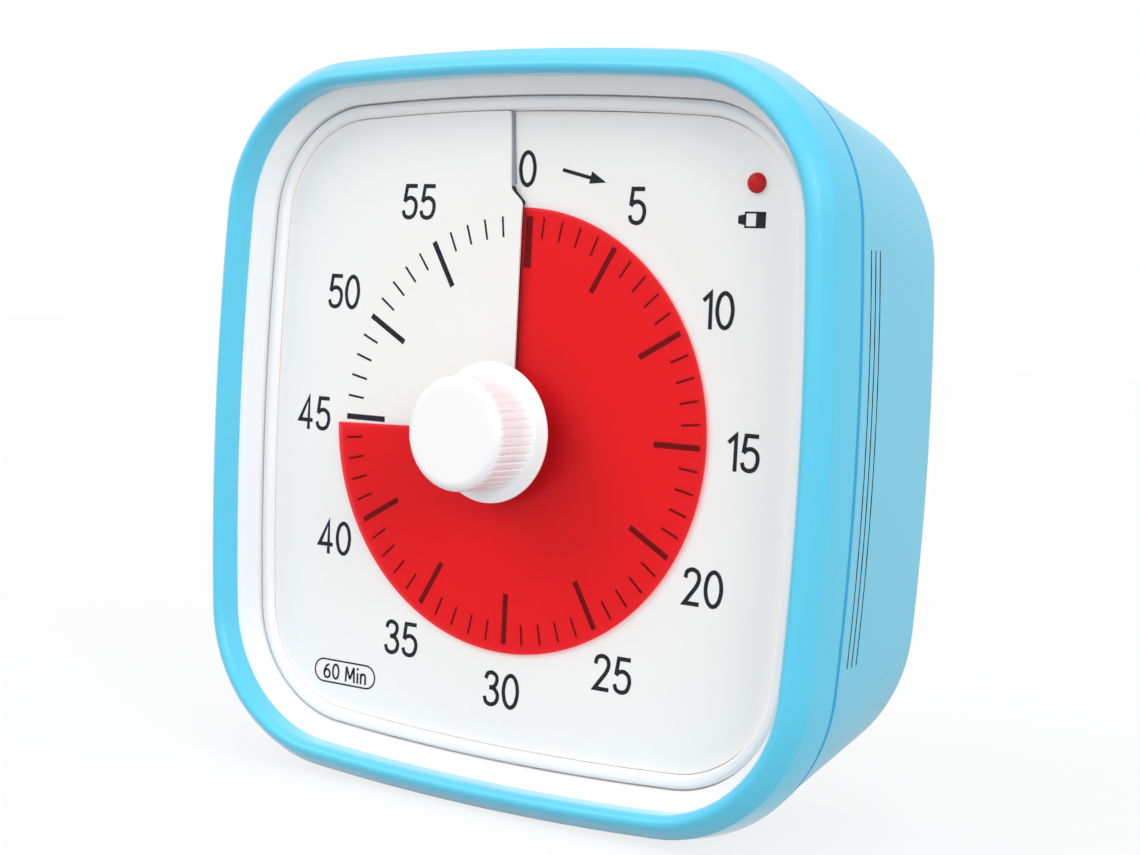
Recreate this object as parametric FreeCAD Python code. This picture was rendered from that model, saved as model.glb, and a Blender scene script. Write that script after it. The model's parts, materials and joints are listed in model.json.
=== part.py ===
import FreeCAD, Part
import math
import os

# Visual countdown timer: a square desk clock with a red disc that shows the minutes left.
# Units are millimetres.  +X is right, +Y runs from the viewer into the case, +Z is up.
# Everything is drawn about the centre of the dial's printed face, then moved so that the
# origin lies under the middle of the case, on the surface that the case stands on.

# Front outline: a square with bowed sides and round corners
half_width = 84.0
half_height = 84.9
corner_radius = 38.0
side_radius = 690.0

# Blue front ring, places along Y counted from the dial face
ring_edge_y = -8.3
ring_shoulder_y = -11.24
ring_shoulder_in = 1.08
ring_crown_y = -12.5
ring_crown_in = 4.0
ring_lip_y = -10.4
ring_lip_in = 7.2
ring_lip_bend_y = -11.9
ring_lip_bend_in = 6.05
ring_foot_y = -7.7
ring_wall = 3.0
groove_front_y = 0.8
groove_depth = 1.0
parting_y = 3.0
stand_flat = 0.5

# White bezel inside the ring
bezel_gap = 0.3
bezel_wall = 1.8
ledge_in = 8.2
ledge_wall = 1.5
band_end_in = 10.3
band_end_y = -2.3
band_back_in = 0.9
band_back_depth = 2.7
cove_bend_in = 11.5
cove_bend_y = -0.75
dial_edge_in = 13.6
dial_edge_y = -0.1
dial_edge_depth = 1.4
bezel_boss_radius = 2.3
bezel_boss_depth = 6.0

# Clear front window
lens_thickness = 1.5
lens_seat_y = -4.6
lens_edge_gap = 0.3
lens_seat_width = 0.9
lens_bore_radius = 4.5

# Dial sheet: one turn of a shallow screw surface with a radial slit at twelve o'clock
dial_pitch = 2.0
dial_thickness = 0.5
dial_edge_gap = 0.3
dial_bore_radius = 8.0
sheet_step_degrees = 10.0
sheet_rows = 3
slit_jog_height = 52.0
slit_jog_offset = 3.2
slit_lap_degrees = 8.0

# Red film disc, which winds through the slit as the knob turns
film_radius = 49.9
film_thickness = 0.25
film_front_gap = 0.55
film_turn_degrees = 357.0
set_degrees = 268.3
hub_radius = 6.0
hub_front_y = -3.2
hub_rear_y = 3.0

# Knob and its shaft
knob_flange_radius = 15.6
knob_flange_thickness = 2.0
knob_lens_gap = 0.3
knob_grip_radius = 12.6
knob_front_y = -23.0
knob_edge_round = 2.2
knob_rib_count = 42
knob_rib_depth = 0.6
knob_rib_end_gap = 1.0
knob_groove_share = 0.9
knob_flange_round = 0.65
knob_wall = 1.9
knob_socket_wall = 2.4
shaft_radius = 3.0
running_clearance = 0.05

# Chassis plate behind the dial
chassis_thickness = 2.0
chassis_edge_gap = 0.4
chassis_bore_radius = 9.0
post_radius = 3.0
post_in = 22.0
post_degrees = (20.0, 90.0, 150.0, 210.0, 270.0, 340.0)
seat_gap = 0.05
led_in_x = 25.0
led_in_z = 28.5
led_radius = 2.5
led_hole_gap = 0.3

# Rear shell
shell_step_in = 0.6
shell_rear_y = 55.8
shell_rear_in = 7.8
shell_wall = 2.4
shell_round = 6.0
round_steps = 12
vent_places_y = (7.8, 10.6, 13.5)
vent_width = 0.6
vent_length = 86.0
pillar_in_x = 28.0
pillar_in_z = 28.9
pillar_radius = 4.0
pillar_meet_y = 22.0
case_screw_seat_y = 30.0
foot_x = 28.0
foot_y = 45.0
foot_radius = 6.5
foot_flare = 1.5
foot_height = 12.7
pad_radius = 5.0
pad_thickness = 2.0
pad_recess = 0.4

# Screws
case_screw_radius = 1.45
case_screw_head_radius = 2.9
case_screw_length = 18.0
small_screw_radius = 1.0
small_screw_head_radius = 2.0
screw_head_height = 1.6
screw_slot_width = 0.7
screw_slack = 0.1
screw_head_slack = 0.3
front_screw_in = 7.7
front_screw_z = 22.0
front_screw_reach = 4.0
board_screw_length = 6.6

# Movement: a gear box driven by a small motor
movement_low_x = -20.0
movement_high_x = 34.0
movement_low_z = -20.0
movement_high_z = 30.0
movement_wall = 1.6
movement_depth = 12.5
movement_split = 6.0
column_radius = 2.6
column_inset = 3.5
bush_radius = 5.0
bush_front_gap = 0.4
gear_module = 0.5
tooth_foot_share = 1.25
tooth_tip_share = 0.9
tooth_half_at_foot = 0.30
tooth_half_at_pitch = 0.19
tooth_half_at_tip = 0.10
centre_teeth = 60
third_pinion_teeth = 12
third_wheel_teeth = 48
motor_pinion_teeth = 12
wheel_thickness = 1.5
pinion_overhang = 0.6
centre_wheel_y = 8.6
centre_hub_radius = 5.0
third_wheel_y = 11.5
third_degrees = 40.0
motor_degrees = -75.0
arbor_radius = 0.8
clip_thickness = 0.6
clip_radius = 5.0
motor_radius = 9.0
motor_depth = 8.5
motor_nose_radius = 2.5
motor_bore_gap = 0.05

# Battery compartment for two AA cells
cell_length = 49.5
cell_radius = 7.25
cell_nub_radius = 2.75
cell_nub_length = 1.0
cell_spacing = 15.2
cells_in_z = 35.9
cells_rear_gap = 1.2
spring_length = 7.5
spring_radius = 4.0
spring_tip_radius = 2.0
contact_thickness = 0.5
contact_width = 11.0
box_wall = 1.6
box_side_gap = 0.35
divider_half_length = 16.5
divider_thickness = 0.5
door_gap = 0.3
door_side_lap = 1.0
door_end_lap = 1.15
door_pin_radius = 0.8
door_pin_length = 1.8
thumb_radius = 9.0
thumb_depth = 1.2

# Circuit board, switches and loudspeaker
board_y = 44.0
board_thickness = 1.6
board_in_x = 34.0
board_half_height = 9.0
board_post_in = 40.0
board_post_radius = 3.0
chip_size = 10.0
chip_height = 1.5
crystal_radius = 1.5
crystal_length = 6.0
crystal_x = 14.0
switch_x = 22.0
switch_in_z = 28.9
switch_length = 12.0
switch_width = 6.0
switch_rear_gap = 0.3
slider_length = 2.6
slider_width = 2.2
slider_travel = 2.0
slider_gap = 0.3
slider_foot_depth = 2.6
slider_below_surface = 0.2
recess_length = 13.0
recess_width = 6.6
recess_depth = 1.2
speaker_z = 20.0
speaker_radius = 15.0
speaker_depth = 8.0
speaker_gap = 0.3
speaker_rim_wall = 1.6
speaker_rim_height = 4.0
speaker_magnet_radius = 9.0
speaker_cone_radius = 12.0
speaker_throat_radius = 6.0
speaker_cone_depth = 3.0
grille_hole_radius = 0.8
grille_ring_step = 3.4
grille_rings = 3

# Room that cutting shapes have beyond what they cut
spare = 5.0

# Places worked out from the sizes above
lens_front_y = lens_seat_y - lens_thickness
knob_rear_y = lens_front_y - knob_lens_gap
chassis_rear_y = parting_y + chassis_thickness
movement_rear_y = chassis_rear_y + movement_depth
movement_split_y = chassis_rear_y + movement_split
shell_floor_y = shell_rear_y - shell_wall
shell_slope = math.atan((shell_rear_in - shell_step_in) / (shell_rear_y - parting_y))
film_offset = film_front_gap + film_thickness
stand_z = -(half_height - stand_flat)
middle_y = (knob_front_y + shell_rear_y) / 2
led_x = half_width - led_in_x
led_z = half_height - led_in_z
cells_z = cells_in_z - half_height
switch_z = half_height - switch_in_z
board_post_x = half_width - board_post_in

BACK = FreeCAD.Vector(0, 1, 0)
FRONT = FreeCAD.Vector(0, -1, 0)
UP = FreeCAD.Vector(0, 0, 1)
RIGHT = FreeCAD.Vector(1, 0, 0)
CENTRE = FreeCAD.Vector(0, 0, 0)
TO_ORIGIN = FreeCAD.Vector(0, -middle_y, -stand_z)


def point(x, y, z):
    return FreeCAD.Vector(x, y, z)


def polar(radius, degrees, y):
    """A point by its distance from the dial's axis and its clockwise angle from twelve."""
    angle = math.radians(degrees)
    return point(radius * math.sin(angle), y, radius * math.cos(angle))


def box(x_low, x_high, y_low, y_high, z_low, z_high):
    corner = point(x_low, y_low, z_low)
    return Part.makeBox(x_high - x_low, y_high - y_low, z_high - z_low, corner)


def rod(radius, y_low, y_high, x=0.0, z=0.0):
    return Part.makeCylinder(radius, y_high - y_low, point(x, y_low, z), BACK)


def tube(outer, inner, y_low, y_high, x=0.0, z=0.0):
    return rod(outer, y_low, y_high, x, z).cut(rod(inner, y_low - spare, y_high + spare, x, z))


def joined(shapes):
    if len(shapes) == 1:
        return shapes[0]
    return shapes[0].multiFuse(shapes[1:]).removeSplitter()


def group(shapes):
    return Part.makeCompound(shapes)


def outline_arcs(inset, radius):
    """The eight arcs of the case outline drawn in by inset, anticlockwise from the right side.

    Each arc is (centre x, centre z, radius, first degree, last degree), degrees from +X to +Z.
    """
    side = side_radius - inset
    across = side - (half_width - inset)
    upward = side - (half_height - inset)
    reach = side - radius
    span = math.hypot(across, upward)
    rise = math.sqrt(reach * reach - span * span / 4)
    x = -across / 2 + rise * upward / span
    z = -upward / 2 + rise * across / span
    low = math.degrees(math.atan2(z, x + across))
    high = math.degrees(math.atan2(z + upward, x))
    return [
        (-across, 0, side, -low, low),
        (x, z, radius, low, high),
        (0, -upward, side, high, 180 - high),
        (-x, z, radius, 180 - high, 180 - low),
        (across, 0, side, 180 - low, 180 + low),
        (-x, -z, radius, 180 + low, 180 + high),
        (0, upward, side, 180 + high, 360 - high),
        (x, -z, radius, 360 - high, 360 - low),
    ]


def outline_wire(inset, y, radius=None):
    edges = []
    corner = corner_radius - inset if radius is None else radius
    for x, z, arc_radius, first, last in outline_arcs(inset, corner):
        ends = []
        for degrees in (first, (first + last) / 2, last):
            angle = math.radians(degrees)
            ends.append(point(x + arc_radius * math.cos(angle), y, z + arc_radius * math.sin(angle)))
        edges.append(Part.Arc(*ends).toShape())
    return Part.Wire(edges)


def outline_plate(inset, y_low, y_high):
    return Part.Face(outline_wire(inset, y_low)).extrude(point(0, y_high - y_low, 0))


def outline_ring(profile):
    """Carry a closed profile round the case outline.

    The profile is a list of (inset, y) points; a point with a third value ends an arc, and
    that third value is the (inset, y) point half way along the arc.
    """
    pieces = []
    for x, z, arc_radius, first, last in outline_arcs(0.0, corner_radius):
        edges = []
        for start, end in zip(profile, profile[1:] + profile[:1]):
            begin = point(arc_radius - start[0], start[1], 0)
            finish = point(arc_radius - end[0], end[1], 0)
            if len(end) == 3:
                middle = point(arc_radius - end[2][0], end[2][1], 0)
                edges.append(Part.Arc(begin, middle, finish).toShape())
            else:
                edges.append(Part.makeLine(begin, finish))
        face = Part.Face(Part.Wire(edges))
        face.rotate(CENTRE, FRONT, first)
        piece = face.revolve(CENTRE, FRONT, last - first)
        piece.translate(point(x, 0, z))
        pieces.append(piece)
    return joined(pieces)


def dial_y(degrees):
    """Height of the dial's printed face at a clockwise angle from twelve."""
    return dial_pitch / 2 - dial_pitch * degrees / 360


def screw_sheet(inner, outer, first, last, offset, thickness):
    """A sheet that follows the dial's screw surface, offset towards the viewer."""
    steps = math.ceil((last - first) / sheet_step_degrees)
    rows = []
    for index in range(sheet_rows + 1):
        radius = inner + (outer - inner) * index / sheet_rows
        row = []
        for step in range(steps + 1):
            degrees = first + (last - first) * step / steps
            row.append(polar(radius, degrees, dial_y(degrees) - offset))
        rows.append(row)
    surface = Part.BSplineSurface()
    surface.interpolate(rows)
    return surface.toShape().extrude(point(0, thickness, 0))


def screw(radius, head_radius, length, seat_y, x, z):
    """A screw with a slotted head, driven towards the viewer from seat_y."""
    shank = rod(radius, seat_y - length, seat_y, x, z)
    head = rod(head_radius, seat_y, seat_y + screw_head_height, x, z)
    slot = box(x - head_radius, x + head_radius, seat_y + screw_head_height / 2,
               seat_y + screw_head_height + spare, z - screw_slot_width / 2, z + screw_slot_width / 2)
    return joined([shank, head]).cut(slot)


def gear(teeth, y_low, y_high, x, z, first_tooth):
    """A spur wheel; first_tooth is the direction of one tooth, in degrees from +X to +Z."""
    pitch_radius = gear_module * teeth / 2
    levels = [
        (pitch_radius - tooth_foot_share * gear_module, tooth_half_at_foot),
        (pitch_radius, tooth_half_at_pitch),
        (pitch_radius + tooth_tip_share * gear_module, tooth_half_at_tip),
    ]
    step = 360 / teeth
    corners = []
    for index in range(teeth):
        middle = first_tooth + index * step
        flank = [(radius, -share) for radius, share in levels]
        flank += [(radius, share) for radius, share in reversed(levels)]
        for radius, share in flank:
            angle = math.radians(middle + share * step)
            corners.append(point(x + radius * math.cos(angle), y_low, z + radius * math.sin(angle)))
    corners.append(corners[0])
    return Part.Face(Part.makePolygon(corners)).extrude(point(0, y_high - y_low, 0))


def corners_of(x, z):
    return [(x, z), (-x, z), (-x, -z), (x, -z)]


def front_screw_places():
    return corners_of(half_width - front_screw_in, front_screw_z)


def pillar_places():
    return corners_of(half_width - pillar_in_x, half_height - pillar_in_z)


def movement_columns():
    low_x = movement_low_x + column_inset
    high_x = movement_high_x - column_inset
    low_z = movement_low_z + column_inset
    high_z = movement_high_z - column_inset
    return [(low_x, low_z), (high_x, low_z), (high_x, high_z), (low_x, high_z)]


def third_axis():
    distance = gear_module * (centre_teeth + third_pinion_teeth) / 2
    angle = math.radians(third_degrees)
    return distance * math.cos(angle), distance * math.sin(angle)


def motor_axis():
    distance = gear_module * (third_wheel_teeth + motor_pinion_teeth) / 2
    angle = math.radians(motor_degrees)
    x, z = third_axis()
    return x + distance * math.cos(angle), z + distance * math.sin(angle)


def front_ring():
    profile = [
        (0.0, groove_front_y),
        (0.0, ring_edge_y),
        (ring_crown_in, ring_crown_y, (ring_shoulder_in, ring_shoulder_y)),
        (ring_lip_in, ring_lip_y, (ring_lip_bend_in, ring_lip_bend_y)),
        (ring_lip_in, ring_foot_y),
        (ring_wall, ring_foot_y),
        (ring_wall, parting_y),
        (groove_depth, parting_y),
        (groove_depth, groove_front_y),
    ]
    ring = outline_ring(profile)
    floor = box(-half_width, half_width, ring_crown_y - spare, parting_y + spare,
                -half_height - spare, stand_z)
    return ring.cut(floor)


def bezel_frame():
    outer = ring_wall + bezel_gap
    rim = outer + bezel_wall
    foot = ring_foot_y + bezel_wall
    ledge_back = ledge_in - ledge_wall
    well_back = dial_edge_in - bezel_wall
    profile = [
        (outer, ring_foot_y),
        (ring_lip_in, ring_foot_y),
        (ledge_in, lens_front_y),
        (ledge_in, lens_seat_y),
        (ledge_in + lens_seat_width, lens_seat_y),
        (band_end_in, band_end_y),
        (dial_edge_in, dial_edge_y, (cove_bend_in, cove_bend_y)),
        (dial_edge_in, parting_y),
        (well_back, parting_y),
        (well_back, dial_edge_y + dial_edge_depth),
        (band_end_in - band_back_in, band_end_y + band_back_depth),
        (ledge_back, lens_seat_y),
        (ledge_back, foot),
        (rim, foot),
        (rim, parting_y),
        (outer, parting_y),
    ]
    frame = outline_ring(profile)
    bosses = []
    holes = []
    for x, z in front_screw_places():
        bosses.append(rod(bezel_boss_radius, parting_y - bezel_boss_depth, parting_y, x, z))
        hole_front = parting_y - front_screw_reach - screw_slack
        holes.append(rod(small_screw_radius + running_clearance, hole_front, parting_y + spare, x, z))
    return joined([frame] + bosses).cut(group(holes))


def front_lens():
    plate = outline_plate(ledge_in + lens_edge_gap, lens_front_y, lens_seat_y)
    return plate.cut(rod(lens_bore_radius, lens_front_y - spare, lens_seat_y + spare))


def dial_plate():
    reach = math.hypot(half_width, half_height)
    sheet = screw_sheet(dial_bore_radius, reach, -slit_lap_degrees, 360.0, 0.0, dial_thickness)
    sheet = sheet.common(outline_plate(dial_edge_in + dial_edge_gap, -spare, spare))
    lap_low = box(-reach, 0, 0, spare, 0, slit_jog_height)
    lap_high = box(-reach, -slit_jog_offset, 0, spare, slit_jog_height, reach)
    lip_high = box(-slit_jog_offset, spare, -spare, 0, slit_jog_height, reach)
    led_hole = rod(led_radius + led_hole_gap, -spare, spare, led_x, led_z)
    return sheet.cut(lap_low).cut(lap_high).cut(lip_high).cut(led_hole)


def red_film():
    first = set_degrees - film_turn_degrees
    inner = hub_radius + running_clearance
    return screw_sheet(inner, film_radius, first, set_degrees, film_offset, film_thickness)


def film_hub():
    return tube(hub_radius, shaft_radius + running_clearance, hub_front_y, hub_rear_y)


def control_knob():
    flange_front = knob_rear_y - knob_flange_thickness
    flange = rod(knob_flange_radius, flange_front, knob_rear_y)
    flange = flange.makeFillet(knob_flange_round, [flange.Edges[0], flange.Edges[2]])
    grip = rod(knob_grip_radius, knob_front_y, flange_front + knob_flange_thickness / 2)
    front_edges = [edge for edge in grip.Edges
                   if edge.BoundBox.YMax < knob_front_y + knob_edge_round / 2]
    grip = grip.makeFillet(knob_edge_round, front_edges)
    grooves = []
    groove_low = knob_front_y + knob_edge_round
    groove_high = flange_front - knob_rib_end_gap
    half_groove = math.pi * knob_grip_radius / knob_rib_count * knob_groove_share
    for index in range(knob_rib_count):
        corners = [
            point(knob_grip_radius - knob_rib_depth, groove_low, 0),
            point(knob_grip_radius + knob_rib_depth, groove_low, half_groove),
            point(knob_grip_radius + knob_rib_depth, groove_low, -half_groove),
        ]
        wedge = Part.Face(Part.makePolygon(corners + corners[:1]))
        groove = wedge.extrude(point(0, groove_high - groove_low, 0))
        groove.rotate(CENTRE, BACK, index * 360 / knob_rib_count)
        grooves.append(groove)
    knob = joined([flange, grip]).cut(group(grooves))
    socket_radius = shaft_radius + running_clearance
    socket_depth = knob_front_y + knob_wall + knob_socket_wall
    cavity = tube(knob_grip_radius - knob_rib_depth - knob_wall, socket_radius + knob_socket_wall,
                  knob_front_y + knob_wall + knob_edge_round / 2, knob_rear_y + spare)
    return knob.cut(cavity).cut(rod(socket_radius, socket_depth, knob_rear_y + spare))


def knob_shaft():
    front = knob_front_y + knob_wall + knob_socket_wall + seat_gap
    return rod(shaft_radius, front, movement_rear_y - movement_wall / 2)


def chassis_plate():
    shell_in = shell_step_in + shell_wall / math.cos(shell_slope)
    edge = shell_in + chassis_thickness * math.tan(shell_slope) + chassis_edge_gap
    outline = outline_wire(edge, parting_y, corner_radius - shell_wall - chassis_edge_gap)
    plate = Part.Face(outline).extrude(point(0, chassis_thickness, 0))
    solids = [plate]
    holes = [rod(chassis_bore_radius, parting_y - spare, chassis_rear_y + spare)]
    for degrees in post_degrees:
        place = polar(half_width - post_in, degrees, 0)
        top = dial_y(degrees) + dial_thickness + seat_gap
        solids.append(rod(post_radius, top, parting_y, place.x, place.z))
    for x, z in pillar_places():
        solids.append(rod(pillar_radius, chassis_rear_y, pillar_meet_y, x, z))
        holes.append(rod(case_screw_radius + running_clearance,
                         case_screw_seat_y - case_screw_length - screw_slack,
                         pillar_meet_y + spare, x, z))
    for x, z in front_screw_places():
        holes.append(rod(small_screw_radius + screw_slack, parting_y - spare, chassis_rear_y + spare, x, z))
    for x, z in movement_columns():
        holes.append(rod(small_screw_radius + running_clearance, parting_y + screw_slack,
                         chassis_rear_y + spare, x, z))
    return joined(solids).cut(group(holes))


def low_battery_led():
    body = rod(led_radius, 0, parting_y, led_x, led_z)
    dome = Part.makeSphere(led_radius, point(led_x, 0, led_z))
    return joined([body, dome])


def front_bush():
    return tube(bush_radius, shaft_radius + running_clearance, chassis_rear_y - bush_front_gap,
                chassis_rear_y + movement_wall)


def movement_half(y_low, y_high, floor_low, floor_high):
    walls = box(movement_low_x, movement_high_x, y_low, y_high, movement_low_z, movement_high_z)
    hollow = box(movement_low_x + movement_wall, movement_high_x - movement_wall,
                 y_low - spare, y_high + spare,
                 movement_low_z + movement_wall, movement_high_z - movement_wall)
    floor = box(movement_low_x, movement_high_x, floor_low, floor_high, movement_low_z, movement_high_z)
    solids = [walls.cut(hollow), floor]
    holes = []
    for x, z in movement_columns():
        solids.append(rod(column_radius, y_low, y_high, x, z))
        holes.append(rod(small_screw_radius + screw_slack, y_low - spare, y_high + spare, x, z))
    x, z = third_axis()
    holes.append(rod(arbor_radius + running_clearance, y_low - spare, y_high + spare, x, z))
    return joined(solids).cut(group(holes))


def movement_case_front():
    floor_high = chassis_rear_y + movement_wall
    half = movement_half(chassis_rear_y, movement_split_y, chassis_rear_y, floor_high)
    return half.cut(rod(bush_radius + running_clearance, chassis_rear_y - spare, movement_split_y))


def movement_case_rear():
    floor_low = movement_rear_y - movement_wall
    half = movement_half(movement_split_y, movement_rear_y, floor_low, movement_rear_y)
    x, z = motor_axis()
    nose_hole = rod(motor_nose_radius + screw_slack, movement_split_y, movement_rear_y + spare, x, z)
    shaft_hole = rod(shaft_radius + running_clearance, movement_split_y, movement_rear_y + spare)
    return half.cut(group([nose_hole, shaft_hole]))


def centre_wheel():
    wheel = gear(centre_teeth, centre_wheel_y, centre_wheel_y + wheel_thickness, 0, 0, third_degrees)
    hub = rod(centre_hub_radius, centre_wheel_y - pinion_overhang, centre_wheel_y + wheel_thickness)
    bore = rod(shaft_radius + running_clearance, centre_wheel_y - spare, centre_wheel_y + spare)
    return joined([wheel, hub]).cut(bore)


def shaft_clip():
    high = centre_wheel_y - pinion_overhang - seat_gap
    clip = tube(clip_radius, shaft_radius + running_clearance, high - clip_thickness, high)
    mouth = box(-shaft_radius / 2, shaft_radius / 2, high - spare, high + spare, 0, clip_radius + spare)
    return clip.cut(mouth)


def third_wheel():
    x, z = third_axis()
    pinion = gear(third_pinion_teeth, centre_wheel_y - pinion_overhang, third_wheel_y, x, z,
                  third_degrees + 180 + 180 / third_pinion_teeth)
    wheel = gear(third_wheel_teeth, third_wheel_y, third_wheel_y + wheel_thickness, x, z, motor_degrees)
    arbor = rod(arbor_radius, chassis_rear_y + seat_gap, movement_rear_y - movement_wall / 2, x, z)
    return joined([pinion, wheel, arbor])


def motor_pinion():
    x, z = motor_axis()
    pinion = gear(motor_pinion_teeth, third_wheel_y - pinion_overhang / 2,
                  third_wheel_y + wheel_thickness + pinion_overhang, x, z,
                  motor_degrees + 180 + 180 / motor_pinion_teeth)
    arbor = rod(arbor_radius, third_wheel_y - pinion_overhang, movement_rear_y + movement_wall, x, z)
    return joined([pinion, arbor])


def drive_motor():
    x, z = motor_axis()
    can = rod(motor_radius, movement_rear_y, movement_rear_y + motor_depth, x, z)
    nose = rod(motor_nose_radius, movement_rear_y - movement_wall, movement_rear_y, x, z)
    bore = rod(arbor_radius + running_clearance, movement_rear_y - spare,
               movement_rear_y + movement_wall + motor_bore_gap, x, z)
    return joined([can, nose]).cut(bore)


def shell_sections(wall):
    """Sections (inset, y, corner radius) of the shell's outside, or of its inside by the wall."""
    rounding = shell_round - wall
    rear = shell_rear_y - wall
    front_in = shell_step_in + wall / math.cos(shell_slope)
    front = (front_in, parting_y, corner_radius - wall)
    centre_y = rear - rounding
    centre_in = front_in + (centre_y - parting_y) * math.tan(shell_slope) + rounding / math.cos(shell_slope)
    sections = [front]
    for step in range(round_steps + 1):
        angle = shell_slope + (math.pi / 2 - shell_slope) * step / round_steps
        inset = centre_in - rounding * math.cos(angle)
        shrink = rounding * (math.cos(shell_slope) - math.cos(angle))
        sections.append((inset, centre_y + rounding * math.sin(angle), corner_radius - wall - shrink))
    return sections


def shell_solid(wall, extra_front):
    wires = []
    for inset, y, radius in shell_sections(wall):
        wires.append(outline_wire(inset, y, radius))
    body = Part.makeLoft(wires, True, True)
    if extra_front > 0:
        inset, y, radius = shell_sections(wall)[0]
        mouth = Part.Face(outline_wire(inset, y - extra_front, radius))
        body = joined([body, mouth.extrude(point(0, extra_front, 0))])
    return body


def door_sizes():
    half_x = cell_length / 2 + spring_length / 2 + cell_nub_length / 2 + contact_thickness
    half_z = cell_spacing / 2 + cell_radius + box_side_gap
    return half_x, half_z


def door_axis():
    """Place (y, z) of the battery door's hinge line."""
    half_z = door_sizes()[1] + door_end_lap
    half_wall = shell_wall / 2
    return shell_floor_y + half_wall, cells_z - half_z + half_wall


def grille_places():
    places = [(0.0, speaker_z)]
    for ring in range(1, grille_rings + 1):
        count = 6 * ring
        for index in range(count):
            place = polar(ring * grille_ring_step, index * 360 / count, 0)
            places.append((place.x, place.z + speaker_z))
    return places


def rear_shell():
    outside = shell_solid(0.0, 0.0)
    feet = []
    pads = []
    for side in (-1, 1):
        foot = Part.makeCone(foot_radius, foot_radius + foot_flare, foot_height,
                             point(side * foot_x, foot_y, stand_z + pad_thickness - pad_recess), UP)
        feet.append(foot)
        pads.append(Part.makeCylinder(pad_radius + screw_slack, pad_thickness + spare,
                                      point(side * foot_x, foot_y, stand_z - spare), UP))
    shell = joined([outside] + feet).cut(shell_solid(shell_wall, spare))
    solids = [shell]
    for x, z in pillar_places():
        solids.append(rod(pillar_radius, pillar_meet_y, shell_rear_y - shell_wall / 2, x, z))
    for side in (-1, 1):
        solids.append(rod(board_post_radius, board_y + board_thickness, shell_rear_y - shell_wall / 2,
                          side * board_post_x, switch_z))
    solids.append(tube(speaker_radius + speaker_gap + speaker_rim_wall, speaker_radius + speaker_gap,
                       shell_floor_y - speaker_rim_height, shell_rear_y - shell_wall / 2, 0, speaker_z))
    shell = joined(solids)
    cuts = pads
    for x, z in pillar_places():
        cuts.append(rod(case_screw_radius + screw_slack, pillar_meet_y - spare, shell_rear_y, x, z))
        cuts.append(rod(case_screw_head_radius + screw_head_slack, case_screw_seat_y,
                        shell_rear_y + spare, x, z))
    for side in (-1, 1):
        cuts.append(rod(small_screw_radius + running_clearance, board_y, shell_floor_y - screw_head_height,
                        side * board_post_x, switch_z))
        slot_half = slider_travel + slider_length / 2 + slider_gap
        cuts.append(box(side * switch_x - slot_half, side * switch_x + slot_half, shell_floor_y - spare,
                        shell_rear_y + spare, switch_z - slider_width / 2 - slider_gap,
                        switch_z + slider_width / 2 + slider_gap))
        cuts.append(box(side * switch_x - recess_length / 2, side * switch_x + recess_length / 2,
                        shell_rear_y - recess_depth, shell_rear_y + spare,
                        switch_z - recess_width / 2, switch_z + recess_width / 2))
    for y in vent_places_y:
        cuts.append(box(-half_width - spare, half_width + spare, y - vent_width / 2, y + vent_width / 2,
                        -vent_length / 2, vent_length / 2))
    for x, z in grille_places():
        cuts.append(rod(grille_hole_radius, shell_floor_y - spare, shell_rear_y + spare, x, z))
    half_x, half_z = door_sizes()
    hole_x = half_x + door_side_lap + door_gap
    hole_z = half_z + door_end_lap + door_gap
    cuts.append(box(-hole_x, hole_x, shell_floor_y - shell_wall, shell_rear_y + spare,
                    cells_z - hole_z, cells_z + hole_z))
    axis_y, axis_z = door_axis()
    socket_reach = half_x + door_side_lap + door_pin_length + seat_gap
    cuts.append(Part.makeCylinder(door_pin_radius + running_clearance, 2 * socket_reach,
                                  point(-socket_reach, axis_y, axis_z), RIGHT))
    cuts.append(Part.makeSphere(thumb_radius, point(0, shell_rear_y - thumb_depth + thumb_radius,
                                                    cells_z + hole_z)))
    return shell.cut(group(cuts))


def rear_feet():
    pads = []
    for side in (-1, 1):
        base = point(side * foot_x, foot_y, stand_z)
        pads.append(Part.makeCylinder(pad_radius, pad_thickness, base, UP))
    return group(pads)


def case_screws():
    return group([screw(case_screw_radius, case_screw_head_radius, case_screw_length, case_screw_seat_y, x, z)
                  for x, z in pillar_places()])


def front_screws():
    length = chassis_thickness + front_screw_reach
    return group([screw(small_screw_radius, small_screw_head_radius, length, chassis_rear_y, x, z)
                  for x, z in front_screw_places()])


def movement_screws():
    length = movement_rear_y - parting_y - 2 * screw_slack
    return group([screw(small_screw_radius, small_screw_head_radius, length, movement_rear_y, x, z)
                  for x, z in movement_columns()])


def board_screws():
    screws = []
    for side in (-1, 1):
        item = screw(small_screw_radius, small_screw_head_radius, board_screw_length, 0, 0, 0)
        item.rotate(CENTRE, UP, 180)
        item.translate(point(side * board_post_x, board_y, switch_z))
        screws.append(item)
    return group(screws)


def cell_rows():
    """Height and direction of each cell, +1 where its positive end is on the right."""
    return [(cells_z + cell_spacing / 2, 1), (cells_z - cell_spacing / 2, -1)]


def cell_y():
    return shell_floor_y - cells_rear_gap - cell_radius


def battery_box():
    half_x, half_z = door_sizes()
    front = cell_y() - cell_radius - box_side_gap
    rear = shell_floor_y - door_gap
    outer = box(-half_x - box_wall, half_x + box_wall, front - box_wall, rear,
                cells_z - half_z - box_wall, cells_z + half_z + box_wall)
    inner = box(-half_x, half_x, front, rear + spare, cells_z - half_z, cells_z + half_z)
    divider = box(-divider_half_length, divider_half_length,
                  front - box_wall / 2, cell_y() - cell_radius / 2,
                  cells_z - divider_thickness / 2, cells_z + divider_thickness / 2)
    return joined([outer.cut(inner), divider])


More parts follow.
